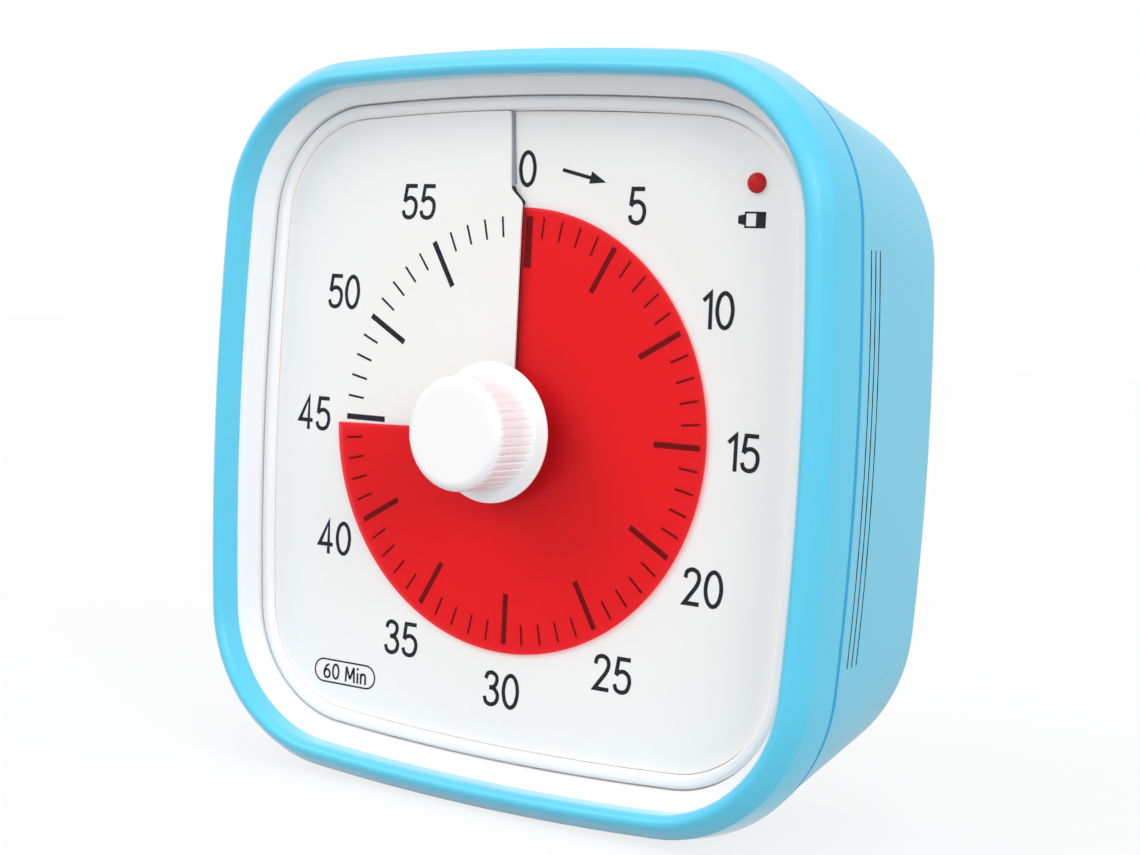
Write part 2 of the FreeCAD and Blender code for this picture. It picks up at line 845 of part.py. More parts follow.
def aa_cells():
    half_x = door_sizes()[0]
    cells = []
    for z, side in cell_rows():
        tip = half_x - contact_thickness
        body_end = tip - cell_nub_length
        body = Part.makeCylinder(cell_radius, cell_length, point(body_end - cell_length, 0, 0), RIGHT)
        nub = Part.makeCylinder(cell_nub_radius, cell_nub_length, point(body_end, 0, 0), RIGHT)
        cell = joined([body, nub])
        if side < 0:
            cell.rotate(CENTRE, BACK, 180)
        cell.translate(point(0, cell_y(), z))
        cells.append(cell)
    return group(cells)


def battery_contacts():
    half_x = door_sizes()[0]
    plates = []
    half = contact_width / 2
    for z, _ in cell_rows():
        for side in (-1, 1):
            low = min(side * half_x, side * (half_x - contact_thickness))
            plates.append(box(low, low + contact_thickness, cell_y() - half, cell_y() + half,
                              z - half, z + half))
    return group(plates)


def battery_springs():
    half_x = door_sizes()[0]
    springs = []
    for z, side in cell_rows():
        start = point(-side * (half_x - contact_thickness), cell_y(), z)
        cone = Part.makeCone(spring_radius, spring_tip_radius, spring_length, start,
                             point(side, 0, 0))
        springs.append(cone)
    return group(springs)


def battery_door():
    half_x, half_z = door_sizes()
    edge_x = half_x + door_side_lap
    axis_y, axis_z = door_axis()
    panel = box(-edge_x, edge_x, shell_floor_y, shell_rear_y, axis_z, cells_z + half_z + door_end_lap)
    edge = Part.makeCylinder(shell_wall / 2, 2 * edge_x, point(-edge_x, axis_y, axis_z), RIGHT)
    pin_reach = edge_x + door_pin_length
    pins = Part.makeCylinder(door_pin_radius, 2 * pin_reach, point(-pin_reach, axis_y, axis_z), RIGHT)
    return joined([panel, edge, pins])


def circuit_board():
    half_length = half_width - board_in_x
    board = box(-half_length, half_length, board_y, board_y + board_thickness,
                switch_z - board_half_height, switch_z + board_half_height)
    holes = []
    for side in (-1, 1):
        holes.append(rod(small_screw_radius + screw_slack, board_y - spare, board_y + spare,
                         side * board_post_x, switch_z))
    return board.cut(group(holes))


def timer_chip():
    return box(-chip_size / 2, chip_size / 2, board_y - chip_height, board_y,
               switch_z - chip_size / 2, switch_z + chip_size / 2)


def quartz_crystal():
    start = point(crystal_x, board_y - crystal_radius, switch_z - crystal_length / 2)
    return Part.makeCylinder(crystal_radius, crystal_length, start, UP)


def switch_body(side):
    x = side * switch_x
    rear = shell_floor_y - switch_rear_gap
    body = box(x - switch_length / 2, x + switch_length / 2, board_y + board_thickness, rear,
               switch_z - switch_width / 2, switch_z + switch_width / 2)
    half = slider_travel + slider_length / 2 + slider_gap
    slot = box(x - half, x + half, rear - slider_foot_depth, rear + spare,
               switch_z - slider_width / 2 - slider_gap, switch_z + slider_width / 2 + slider_gap)
    return body.cut(slot)


def slider(side, offset):
    x = side * switch_x + offset
    rear = shell_floor_y - switch_rear_gap
    return box(x - slider_length / 2, x + slider_length / 2, rear - slider_foot_depth + slider_gap,
               shell_rear_y - slider_below_surface, switch_z - slider_width / 2, switch_z + slider_width / 2)


def loudspeaker():
    rear = shell_floor_y - speaker_gap
    body = rod(speaker_radius, rear - speaker_depth / 2, rear, 0, speaker_z)
    magnet = rod(speaker_magnet_radius, rear - speaker_depth, rear - speaker_depth / 2, 0, speaker_z)
    cone = Part.makeCone(speaker_throat_radius, speaker_cone_radius, speaker_cone_depth,
                         point(0, rear - speaker_cone_depth, speaker_z), BACK)
    return joined([body, magnet]).cut(cone)


def build():
    return {
        "front_ring": front_ring(),
        "bezel_frame": bezel_frame(),
        "front_lens": front_lens(),
        "dial_plate": dial_plate(),
        "red_film": red_film(),
        "film_hub": film_hub(),
        "control_knob": control_knob(),
        "knob_shaft": knob_shaft(),
        "chassis_plate": chassis_plate(),
        "low_battery_led": low_battery_led(),
        "front_bush": front_bush(),
        "movement_case_front": movement_case_front(),
        "movement_case_rear": movement_case_rear(),
        "centre_wheel": centre_wheel(),
        "shaft_clip": shaft_clip(),
        "third_wheel": third_wheel(),
        "motor_pinion": motor_pinion(),
        "drive_motor": drive_motor(),
        "rear_shell": rear_shell(),
        "rear_feet": rear_feet(),
        "case_screws": case_screws(),
        "front_screws": front_screws(),
        "movement_screws": movement_screws(),
        "board_screws": board_screws(),
        "battery_box": battery_box(),
        "aa_cells": aa_cells(),
        "battery_contacts": battery_contacts(),
        "battery_springs": battery_springs(),
        "battery_door": battery_door(),
        "circuit_board": circuit_board(),
        "timer_chip": timer_chip(),
        "quartz_crystal": quartz_crystal(),
        "volume_switch_body": switch_body(-1),
        "volume_slider": slider(-1, 0.0),
        "duration_switch_body": switch_body(1),
        "duration_slider": slider(1, -slider_travel),
        "loudspeaker": loudspeaker(),
    }


def main():
    os.makedirs("parts", exist_ok=True)
    for name, shape in build().items():
        shape.translate(TO_ORIGIN)
        shape.exportStep(os.path.join("parts", name + ".step"))
        print(name, "valid", shape.isValid(), "solids", len(shape.Solids), "volume", round(shape.Volume, 1))


main()
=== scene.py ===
import json
import math

import bmesh
import bpy
from mathutils import Matrix, Vector


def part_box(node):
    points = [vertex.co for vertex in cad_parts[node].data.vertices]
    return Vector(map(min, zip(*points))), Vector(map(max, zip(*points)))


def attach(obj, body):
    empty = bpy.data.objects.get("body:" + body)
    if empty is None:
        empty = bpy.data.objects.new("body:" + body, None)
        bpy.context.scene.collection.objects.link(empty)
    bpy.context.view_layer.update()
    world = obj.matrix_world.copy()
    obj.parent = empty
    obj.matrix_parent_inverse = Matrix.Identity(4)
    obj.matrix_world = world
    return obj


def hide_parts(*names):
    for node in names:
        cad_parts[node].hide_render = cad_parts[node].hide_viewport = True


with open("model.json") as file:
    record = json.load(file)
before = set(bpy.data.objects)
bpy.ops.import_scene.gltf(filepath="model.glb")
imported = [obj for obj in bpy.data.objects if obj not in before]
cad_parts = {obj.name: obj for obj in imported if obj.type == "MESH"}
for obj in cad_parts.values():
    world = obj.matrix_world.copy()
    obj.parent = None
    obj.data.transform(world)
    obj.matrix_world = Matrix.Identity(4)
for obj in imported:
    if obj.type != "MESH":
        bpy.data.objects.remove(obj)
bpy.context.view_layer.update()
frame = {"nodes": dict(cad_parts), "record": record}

# Places read from the frame
knob_low, knob_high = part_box("control_knob")
lens_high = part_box("front_lens")[1]
LENS_SEAT = -4.6
DIAL_CENTRE = Vector(((knob_low.x + knob_high.x) / 2, lens_high.y - LENS_SEAT / 1000,
                      (knob_low.z + knob_high.z) / 2))

# The case outline: a square with bowed sides and round corners
HALF_WIDTH = 84.0
HALF_HEIGHT = 84.9
CORNER = 38.0
SIDE_RADIUS = 690.0
OUTLINE_STEP_DEGREES = 1.5
SIDE_STEPS = 24

# Front ring, bezel and window
PARTING = 3.0
GROOVE_FRONT = 0.8
GROOVE_DEPTH = 1.0
GROOVE_FLOOR = 0.5
RING_EDGE_IN = 1.1
RING_EDGE = -7.8
RING_BROW_IN = 3.2
RING_BROW = -10.9
RING_CROWN_IN = 5.1
RING_CROWN = -12.4
RING_LIP_IN = 6.8
RING_LIP = -11.0
RING_EDGE_ROUND = 1.2
RING_ROUND = 4.0
RING_FOOT = -5.9
RING_WALL = 3.0
GROOVE_ROUND = 0.25
WALL_ROUND = 0.15
FINE_ROUND = 0.1
GROOVE_GAP = 0.05
OVERLAP = 0.1
BEZEL_OUTER_IN = 3.3
BEZEL_WALL = 1.8
BAND_START_IN = 6.6
BAND_START = -5.8
BAND_END_IN = 10.3
BAND_END = -2.3
BAND_START_ROUND = 0.3
BAND_END_ROUND = 0.12
CREASE_IN = 10.62
CREASE = 0.4
CREASE_DRAFT = 0.03
BEAD_IN = 12.3
BEAD = -2.0
BEAD_ROUND = 0.9
BEAD_FOOT = 1.1
BEAD_FOOT_ROUND = 0.2
DIAL_EDGE_IN = 13.6
DIAL_EDGE = -0.1
LENS_IN = 7.0
LENS_FRONT = -6.1
LENS_BORE = 4.5
LENS_BEVEL = 0.2
LENS_STEPS = 360

# Dial and film
DIAL_PITCH = 2.0
DIAL_THICKNESS = 0.5
DIAL_IN = 13.72
DIAL_BORE = 8.0
FILM_RADIUS = 49.9
FILM_BORE = 6.05
FILM_OFFSET = 0.8
FILM_THICKNESS = 0.25
FILM_TURN = 357.0
SET_DEGREES = 268.3
FLAT_FROM = 52.0
FLAT_TO = 66.0
SLIT_FADE = 28.0
RIM_STEP = 0.8
JOG_LOW = 50.3
JOG_HIGH = 54.6
JOG_ACROSS = 3.3
JOG_LEAN = 0.07
JOG_MARGIN = 2
LAP_WIDTH = 0.9
DIAL_STEPS = 300
FILM_STEPS = 240
FIRST_DEGREES = 0.001
LAST_DEGREES = 359.999
SLIT_GAP = 0.02
SLIT_DEPTH = 0.42
SLIT_WALL = 0.3
SLIT_END = 0.3
SHADE_WIDTH = 0.45
SHADE_GAP = 0.01
SHADE_START = 0.4

# Knob
KNOB_FRONT = -23.0
KNOB_REAR = -6.4
KNOB_FLANGE = 15.6
KNOB_FLANGE_FRONT = -9.7
KNOB_FLANGE_EDGE = -9.0
KNOB_FOOT = 13.4
KNOB_GRIP = 12.6
KNOB_RIBS = 42
KNOB_GROOVE_DEPTH = 0.62
KNOB_FRONT_ROUND = 2.3
ON_AXIS = 0.01
KNOB_GRIP_STEPS = 14
RIB_STEPS = 14
RIB_HALF_WIDTH = 0.2
RIB_POWER = 0.8
RIB_FADE = 2.4
RIB_END = 0.7
RIB_END_FADE = 0.4

# Printed marks
TICK_OUTER = 48.0
MAJOR_INNER = 36.6
MINOR_INNER = 43.4
MAJOR_WIDTH = 1.3
MINOR_WIDTH = 0.5
TICK_COUNT = 60
MAJOR_EVERY = 5
MITRE_LIMIT = 0.45
DOT_SIZE = 0.62
PRINT_LIFT = 0.05
PRINT_SINK = 0.005
NUMBER_HEIGHT = 8.2
NUMBER_STROKE = 0.94
NUMBER_CIRCLE = 58.5
NUMBER_GAP = 0.09
ZERO_SHIFT = 0.1
ZERO_TICK = (0.05, 1.9)
ARROW_SHAFT = ((9.4, 58.3), (17.2, 56.5))
ARROW_WIDTH = 0.8
ARROW_HEAD = ((21.0, 55.6), (16.5, 55.3), (17.2, 58.0))
BATTERY_LOW = 46.5
BATTERY_HIGH = 49.9
BATTERY_CAP = ((54.5, 47.4), (56.0, 47.1), (56.0, 49.3), (54.5, 49.0))
BATTERY_FRAME = (56.2, 58.9)
BATTERY_BLOCK = (58.8, 61.0)
BATTERY_STROKE = 0.4
PILL_CENTRE = (-45.8, -61.3)
PILL_HALF_LENGTH = 9.2
PILL_RADIUS = 2.7
PILL_STROKE = 0.38
PILL_STEPS = 12
PILL_TEXT = "60 Min"
PILL_TEXT_HEIGHT = 3.9
PILL_TEXT_STROKE = 0.52
PILL_TEXT_GAP = 0.12

# Lamp on the dial
LED_X = 58.5
LED_Z = 55.8
LED_RADIUS = 2.15
LED_RISE = 1.6

# Vent slots in the rear shell
SHELL_STEP_IN = 0.6
SHELL_LEAN = 0.1364
VENTS_Y = (7.8, 10.6, 13.5)
VENT_WIDTH = 0.6
VENT_LENGTH = 86.0
VENT_STRIP_SINK = 0.02
VENT_STRIP_THICKNESS = 0.3
VENT_STRIP_MARGIN = 0.03

# Photograph's camera, fitted to the dial's ticks
PHOTO_WIDTH = 1140
PHOTO_HEIGHT = 855
FOCAL_PIXELS = 2114.3
DIAL_PIXEL = (513.36, 431.32)
CAMERA_DISTANCE = 472.6
CAMERA_AZIMUTH = 35.426
CAMERA_ELEVATION = 3.732
CAMERA_ROLL = 2.748
SENSOR_WIDTH = 36.0

# Light: each lamp's direction and strength
LAMPS = {
    "left_lamp": ((-0.5, -0.6, 0.6), 0.85),
    "right_lamp": ((0.8, -0.4, 0.4), 1.1),
    "front_lamp": ((0.25, -1.0, 0.2), 0.25),
    "top_lamp": ((0.05, -0.15, 1.0), 0.4),
}
SUN_SPREAD = 30.0
ROOM_LIGHT = 0.66
FLOOR_GLOW = 0.82
FLOOR_HALF = 4.0

# Shading of the copied solids: large faces count for more where faces meet smoothly
FLAT_WEIGHT = 90


def place(point):
    """A point in dial millimetres as a point of the frame in metres."""
    return Vector(point) / 1000 + DIAL_CENTRE


def srgb(red, green, blue, alpha=1.0):
    """An 8-bit display colour as the linear colour that a shader takes."""
    linear = []
    for value in (red, green, blue):
        share = value / 255
        linear.append(share / 12.92 if share <= 0.04045 else ((share + 0.055) / 1.055) ** 2.4)
    return (*linear, alpha)


# Shader maths

class Value:
    """A shader socket that takes part in Python expressions."""

    def __init__(self, tree, socket):
        self.tree = tree
        self.socket = socket

    def math(self, operation, *others):
        node = self.tree.nodes.new("ShaderNodeMath")
        node.operation = operation
        for index, item in enumerate((self, *others)):
            feed(self.tree, node.inputs[index], item)
        return Value(self.tree, node.outputs[0])

    def __add__(self, other):
        return self.math("ADD", other)

    __radd__ = __add__

    def __mul__(self, other):
        return self.math("MULTIPLY", other)

    __rmul__ = __mul__

    def __sub__(self, other):
        return self.math("SUBTRACT", other)

    def __rsub__(self, other):
        return (self * -1) + other

    def __truediv__(self, other):
        return self.math("DIVIDE", other)

    def __pow__(self, other):
        return self.math("POWER", other)

    def maximum(self, other):
        return self.math("MAXIMUM", other)


def feed(tree, socket, item):
    """Link a Value to a socket, or set the socket to a constant."""
    if isinstance(item, Value):
        tree.links.new(item.socket, socket)
    else:
        socket.default_value = item


def add_node(tree, kind, settings=None, **sockets):
    """Any node, with its settings and its inputs; an underscore stands for a space."""
    node = tree.nodes.new(kind)
    for name, value in (settings or {}).items():
        setattr(node, name, value)
    for name, item in sockets.items():
        feed(tree, node.inputs[name.replace("_", " ")], item)
    return node


def blend(tree, factor, first, second):
    """A mix of two shaders."""
    node = tree.nodes.new("ShaderNodeMixShader")
    feed(tree, node.inputs[0], factor)
    tree.links.new(first.outputs[0], node.inputs[1])
    tree.links.new(second.outputs[0], node.inputs[2])
    return node


class Finish:
    """A node material under construction."""

    def __init__(self, name):
        self.material = bpy.data.materials.new(name)
        self.material.use_nodes = True
        self.tree = self.material.node_tree
        self.tree.nodes.clear()
        self.output = self.tree.nodes.new("ShaderNodeOutputMaterial")

    def node(self, kind, settings=None, **sockets):
        return add_node(self.tree, kind, settings, **sockets)

    def out(self, node, name=0):
        return Value(self.tree, node.outputs[name])

    def noise(self, scale, detail=2.0, roughness=0.5):
        where = self.out(self.node("ShaderNodeTexCoord"), "Object")
        node = self.node("ShaderNodeTexNoise", Vector=where, Scale=scale, Detail=detail,
                         Roughness=roughness)
        return self.out(node, "Factor" if "Factor" in node.outputs else "Fac")

    def mix_colour(self, factor, first, second):
        node = self.node("ShaderNodeMix", {"data_type": "RGBA"})
        feed(self.tree, node.inputs["Factor"], factor)
        colours = [socket for socket in node.inputs if socket.type == "RGBA"]
        feed(self.tree, colours[0], first)
        feed(self.tree, colours[1], second)
        results = [socket for socket in node.outputs if socket.type == "RGBA"]
        return Value(self.tree, results[0])

    def bump(self, height, strength, distance):
        node = self.node("ShaderNodeBump", Height=height, Strength=strength, Distance=distance)
        return self.out(node, "Normal")

    def principled(self, **sockets):
        return self.node("ShaderNodeBsdfPrincipled", **sockets)

    def finish(self, shader):
        self.tree.links.new(shader.outputs[0], self.output.inputs["Surface"])
        return self.material


ROUGH_SPREAD = 0.08


def moulded(name, colour, rough, shade=0.05, grain=900.0, grain_depth=0.00002, specular=0.5,
            sheen=0.0):
    """Moulded plastic: slow mottling of the colour, uneven gloss and a fine grain."""
    finish = Finish(name)
    slow = finish.noise(18.0, 3.0)
    fine = finish.noise(grain)
    darker = tuple(channel * (1 - shade) for channel in colour[:3]) + (1.0,)
    base = finish.mix_colour(slow, colour, darker)
    roughness = slow * ROUGH_SPREAD + (rough - ROUGH_SPREAD / 2)
    normal = finish.bump(fine, 0.35, grain_depth)
    shader = finish.principled(Base_Color=base, Roughness=roughness, Normal=normal,
                               Specular_IOR_Level=specular, Sheen_Weight=sheen,
                               Sheen_Roughness=0.35)
    return finish.finish(shader)


def metal(name, colour, rough):
    """Turned or plated metal with fine uneven gloss."""
    finish = Finish(name)
    streak = finish.noise(260.0, 4.0, 0.6)
    darker = tuple(channel * 0.82 for channel in colour[:3]) + (1.0,)
    base = finish.mix_colour(streak, colour, darker)
    shader = finish.principled(Base_Color=base, Metallic=1.0, Roughness=streak * 0.12 + rough,
                               Normal=finish.bump(streak, 0.15, 0.00002))
    return finish.finish(shader)


def window_plastic(name):
    """Clear plastic that passes light straight through and shows only its reflections."""
    finish = Finish(name)
    smear = finish.noise(9.0, 3.0)
    facing = finish.out(finish.node("ShaderNodeLayerWeight", Blend=0.5), "Facing")
    clear = finish.node("ShaderNodeBsdfTransparent", Color=(0.996, 0.998, 1, 1))
    gloss = finish.principled(Base_Color=(1, 1, 1, 1), Metallic=1.0,
                              Roughness=smear * 0.03 + 0.015)
    shader = blend(finish.tree, facing ** 5 * 0.35 + 0.004, clear, gloss)
    return finish.finish(shader)


def film_plastic(name):
    """Red see-through film: a colour filter with a little body colour and a glossy face."""
    finish = Finish(name)
    slow = finish.noise(12.0, 3.0)
    body = finish.mix_colour(slow, srgb(252, 44, 58), srgb(250, 40, 52))
    tint = finish.node("ShaderNodeBsdfTransparent", Color=srgb(255, 154, 162))
    skin = finish.principled(Base_Color=body, Roughness=slow * 0.03 + 0.28,
                             Specular_IOR_Level=0.3)
    shader = blend(finish.tree, slow * 0.01 + 0.085, tint, skin)
    return finish.finish(shader)


def lamp_plastic(name):
    """Tinted lamp resin, deeper red towards its rim."""
    finish = Finish(name)
    facing = finish.out(finish.node("ShaderNodeLayerWeight", Blend=0.35), "Facing")
    slow = finish.noise(400.0)
    base = finish.mix_colour(facing, srgb(214, 10, 12), srgb(110, 4, 8))
    shader = finish.principled(Base_Color=base, Roughness=slow * 0.05 + 0.12,
                               Specular_IOR_Level=0.15)
    return finish.finish(shader)


def printed_ink(name):
    """Matt ink, very dark blue."""
    finish = Finish(name)
    slow = finish.noise(700.0)
    base = finish.mix_colour(slow, srgb(20, 20, 30), srgb(30, 30, 42))
    shader = finish.principled(Base_Color=base, Roughness=slow * 0.1 + 0.5,
                               Specular_IOR_Level=0.15)
    return finish.finish(shader)


# Moulded plastics: colour and what differs from the usual moulding
PLASTICS = {
    "ring_blue": ((88, 205, 238), {"rough": 0.38, "shade": 0.03, "sheen": 0.9}),
    # Deeper blue of the strip in the seam: painted shade
    "groove_painted_shade_blue": ((48, 172, 224), {"rough": 0.6, "specular": 0.2}),
    "shell_blue": ((108, 207, 238), {"rough": 0.5, "shade": 0.03, "grain": 1500.0,
                                     "grain_depth": 0.00004, "sheen": 0.35}),
    "bezel_white": ((252, 251, 251), {"rough": 0.3, "shade": 0.02}),
    "dial_white": ((249, 247, 245), {"rough": 0.5, "shade": 0.015, "grain": 1800.0}),
    "knob_white": ((250, 250, 251), {"rough": 0.3, "shade": 0.02}),
    # Grey painted shade on the wall under the slit's lip, and a painted shadow strip beside it
    "slit_painted_shade_grey": ((168, 168, 178), {"rough": 0.6}),
    "vent_strip_black": ((10, 24, 28), {"rough": 0.9, "shade": 0.3, "specular": 0.1}),
    "chassis_grey": ((226, 226, 224), {"rough": 0.5}),
    "movement_black": ((34, 34, 36), {"rough": 0.45, "shade": 0.2}),
    "gear_white": ((236, 232, 218), {"rough": 0.4}),
    "rubber_grey": ((52, 52, 54), {"rough": 0.75, "shade": 0.2, "grain": 1200.0,
                                   "grain_depth": 0.00006}),
    "cell_jacket": ((40, 42, 48), {"rough": 0.3, "shade": 0.1}),
    "board_green": ((28, 110, 62), {"rough": 0.35, "shade": 0.25}),
    "chip_black": ((30, 30, 32), {"rough": 0.5, "shade": 0.15}),
    "speaker_black": ((36, 36, 38), {"rough": 0.6, "shade": 0.2}),
    "slider_black": ((44, 44, 47), {"rough": 0.4, "shade": 0.15}),
}

FINISHES = {name: moulded(name, srgb(*colour), **looks)
            for name, (colour, looks) in PLASTICS.items()}
FINISHES.update({
    "lens_clear": window_plastic("lens_clear"),
    "film_red": film_plastic("film_red"),
    "ink": printed_ink("ink"),
    "led_red": lamp_plastic("led_red"),
    "steel": metal("steel", (0.62, 0.62, 0.64, 1), 0.28),
    "brass": metal("brass", (0.78, 0.6, 0.3, 1), 0.25),
    "spring_steel": metal("spring_steel", (0.8, 0.8, 0.78, 1), 0.15),
})


# Mesh helpers

SMOOTH_DEGREES = 35.0


def add_object(name, data):
    """A new object in the scene."""
    made = bpy.data.objects.new(name, data)
    bpy.context.scene.collection.objects.link(made)
    return made


def evaluated_mesh(piece):
    """The mesh that an object's modifiers make."""
    return bpy.data.meshes.new_from_object(
        piece.evaluated_get(bpy.context.evaluated_depsgraph_get()))


def add_mesh(name, points, faces, finish, body, replaced=()):
    """A finished piece from dial millimetres."""
    mesh = bpy.data.meshes.new(name)
    mesh.from_pydata([place(point) for point in points], [], faces)
    return dress(add_object(name, mesh), finish, body, replaced)


def dress(piece, finish, body, replaced=()):
    """Clean up, paint and mount a piece."""
    clean_up(piece.data, SMOOTH_DEGREES)
    return mount(piece, finish, body, replaced)


def clean_up(mesh, smooth_degrees):
    """Weld a mesh, turn its faces outwards and shade it smooth up to an angle."""
    work = bmesh.new()
    work.from_mesh(mesh)
    bmesh.ops.remove_doubles(work, verts=work.verts, dist=1e-7)
    bmesh.ops.dissolve_degenerate(work, edges=work.edges, dist=1e-8)
    bmesh.ops.recalc_face_normals(work, faces=work.faces)
    work.to_mesh(mesh)
    work.free()
    mesh.shade_smooth()
    mesh.set_sharp_from_angle(angle=math.radians(smooth_degrees))


def mount(piece, finish, body, replaced=()):
    """Paint a piece and put it on its body."""
    piece.data.materials.clear()
    piece.data.materials.append(FINISHES[finish])
    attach(piece, body)
    if replaced:
        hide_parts(*replaced)
    return piece


def smooth_copy(node, body, finish, smooth_degrees):
    """A welded, smoothly shaded copy of a solid piece, which it replaces."""
    piece = add_object(node + "_skin", frame["nodes"][node].data.copy())
    clean_up(piece.data, smooth_degrees)
    flatter = piece.modifiers.new("flat_faces_stay_flat", "WEIGHTED_NORMAL")
    flatter.mode = "FACE_AREA"
    flatter.weight = FLAT_WEIGHT
    flatter.keep_sharp = True
    piece.data = evaluated_mesh(piece)
    piece.modifiers.clear()
    mount(piece, finish, body, (node,))


def outline_arcs(radius):
    """The eight arcs of the outline: (centre x, centre z, radius, first and last degree)."""
    across = SIDE_RADIUS - HALF_WIDTH
    upward = SIDE_RADIUS - HALF_HEIGHT
    reach = SIDE_RADIUS - radius
    span = math.hypot(across, upward)
    rise = math.sqrt(reach * reach - span * span / 4)
    x = -across / 2 + rise * upward / span
    z = -upward / 2 + rise * across / span
    low = math.degrees(math.atan2(z, x + across))
    high = math.degrees(math.atan2(z + upward, x))
    return [
        (-across, 0, SIDE_RADIUS, -low, low),
        (x, z, radius, low, high),
        (0, -upward, SIDE_RADIUS, high, 180 - high),
        (-x, z, radius, 180 - high, 180 - low),
        (across, 0, SIDE_RADIUS, 180 - low, 180 + low),
        (-x, -z, radius, 180 + low, 180 + high),
        (0, upward, SIDE_RADIUS, 180 + high, 360 - high),
        (x, -z, radius, 360 - high, 360 - low),
    ]


def outline_stations():
    """(centre x, centre z, radius, degrees) all round the outline, evenly spaced in each arc."""
    stations = []
    for x, z, radius, first, last in outline_arcs(CORNER):
        steps = SIDE_STEPS if radius > CORNER else math.ceil((last - first) / OUTLINE_STEP_DEGREES)
        for step in range(steps):
            stations.append((x, z, radius, first + (last - first) * step / steps))
    return stations


STATIONS = outline_stations()


def outline_point(station, inset, y):
    """A point inset from the outline at a station."""
    x, z, radius, degrees = station
    angle = math.radians(degrees)
    return (x + (radius - inset) * math.cos(angle), y, z + (radius - inset) * math.sin(angle))


def outline_reach(degrees, inset):
    """Distance from the dial's centre to the outline, at a clockwise angle from twelve."""
    slack = 1e-6
    x = math.sin(math.radians(degrees))
    z = math.cos(math.radians(degrees))
    found = None
    for cx, cz, radius, first, last in outline_arcs(CORNER):
        along = x * cx + z * cz
        inside = along * along - (cx * cx + cz * cz) + (radius - inset) ** 2
        if inside < 0:
            continue
        reach = along + math.sqrt(inside)
        turn = math.degrees(math.atan2(reach * z - cz, reach * x - cx))
        if (turn - first + slack) % 360 <= last - first + 2 * slack:
            found = reach
    return found


def rounded_path(corners, steps=6):
    """A path of (u, v) points through corners (u, v, round), each rounded by an arc.

    A round takes at most 0.49 of either side, and one over 1 mm gets twice the steps.
    """
    path = []
    count = len(corners)
    for index, (u, v, radius) in enumerate(corners):
        here = Vector((u, v))
        before = Vector(corners[index - 1][:2]) - here
        after = Vector(corners[(index + 1) % count][:2]) - here
        angle = before.angle(after)
        if radius <= 0 or angle > math.pi - 1e-3:
            path.append(here)
            continue
        limit = 0.49 * min(before.length, after.length)
        cut = min(radius / math.tan(angle / 2), limit)
        real = cut * math.tan(angle / 2)
        middle = (before.normalized() + after.normalized()).normalized()
        centre = here + middle * (real / math.sin(angle / 2))
        start = here + before.normalized() * cut - centre
        turn = math.pi - angle
        sign = 1 if before.cross(after) < 0 else -1
        arc_steps = max(2, math.ceil(steps * turn / (math.pi / 2) * (2 if radius > 1 else 1)))
        for step in range(arc_steps + 1):
            part = sign * turn * step / arc_steps
            path.append(centre + Vector((start.x * math.cos(part) - start.y * math.sin(part),
                                         start.x * math.sin(part) + start.y * math.cos(part))))
    return path


def grid_faces(rows, columns, close_rows, close_columns, first=0):
    """Quads between the rows of a grid of points."""
    faces = []
    for row in range(rows if close_rows else rows - 1):
        for column in range(columns if close_columns else columns - 1):
            a = first + row * columns + column
            b = first + row * columns + (column + 1) % columns
            c = first + ((row + 1) % rows) * columns + (column + 1) % columns
            d = first + ((row + 1) % rows) * columns + column
            faces.append((a, b, c, d))
    return faces


def outline_sweep(name, corners, finish, replaced=()):
    """Carry a closed profile of (inset, y, round) corners round the case outline."""
    profile = rounded_path(corners)
    points = []
    for station in STATIONS:
        for inset, y in profile:
            points.append(outline_point(station, inset, y))
    faces = grid_faces(len(STATIONS), len(profile), True, True)
    return add_mesh(name, points, faces, finish, "housing", replaced)


def polar(radius, degrees, y):
    """A point at a clockwise angle from twelve."""
    angle = math.radians(degrees)
    return (radius * math.sin(angle), y, radius * math.cos(angle))


def sheet_mesh(name, front, back, finish, body="housing", replaced=()):
    """A thin closed solid between two like grids of points, given as rows."""
    rows = len(front)
    columns = len(front[0])
    shift = rows * columns
    points = [point for row in front + back for point in row]
    faces = grid_faces(rows, columns, False, False)
    faces += [tuple(reversed(face)) for face in grid_faces(rows, columns, False, False, shift)]
    rim = []
    for row in range(rows - 1):
        after = row + 1
        rim.append((row * columns, after * columns))
        rim.append((after * columns + columns - 1, row * columns + columns - 1))
    last = (rows - 1) * columns
    for column in range(columns - 1):
        rim.append((column + 1, column))
        rim.append((last + column, last + column + 1))
    for a, b in rim:
        faces.append((a, b, b + shift, a + shift))
    add_mesh(name, points, faces, finish, body, replaced)


def turned(name, path, finish, body, replaced, steps, radius_at=None):
    """A piece turned about the dial's axis from a path of (radius, y); radius_at bends it."""
    points = []
    for step in range(steps):
        degrees = 360 * step / steps
        for radius, y in path:
            size = radius_at(radius, y, degrees) if radius_at else radius
            points.append(polar(size, degrees, y))
    faces = grid_faces(steps, len(path), True, False)
    first = [step * len(path) for step in range(steps)]
    last = [step * len(path) + len(path) - 1 for step in range(steps)]
    faces.append(tuple(first))
    faces.append(tuple(reversed(last)))
    return add_mesh(name, points, faces, finish, body, replaced)


# The case

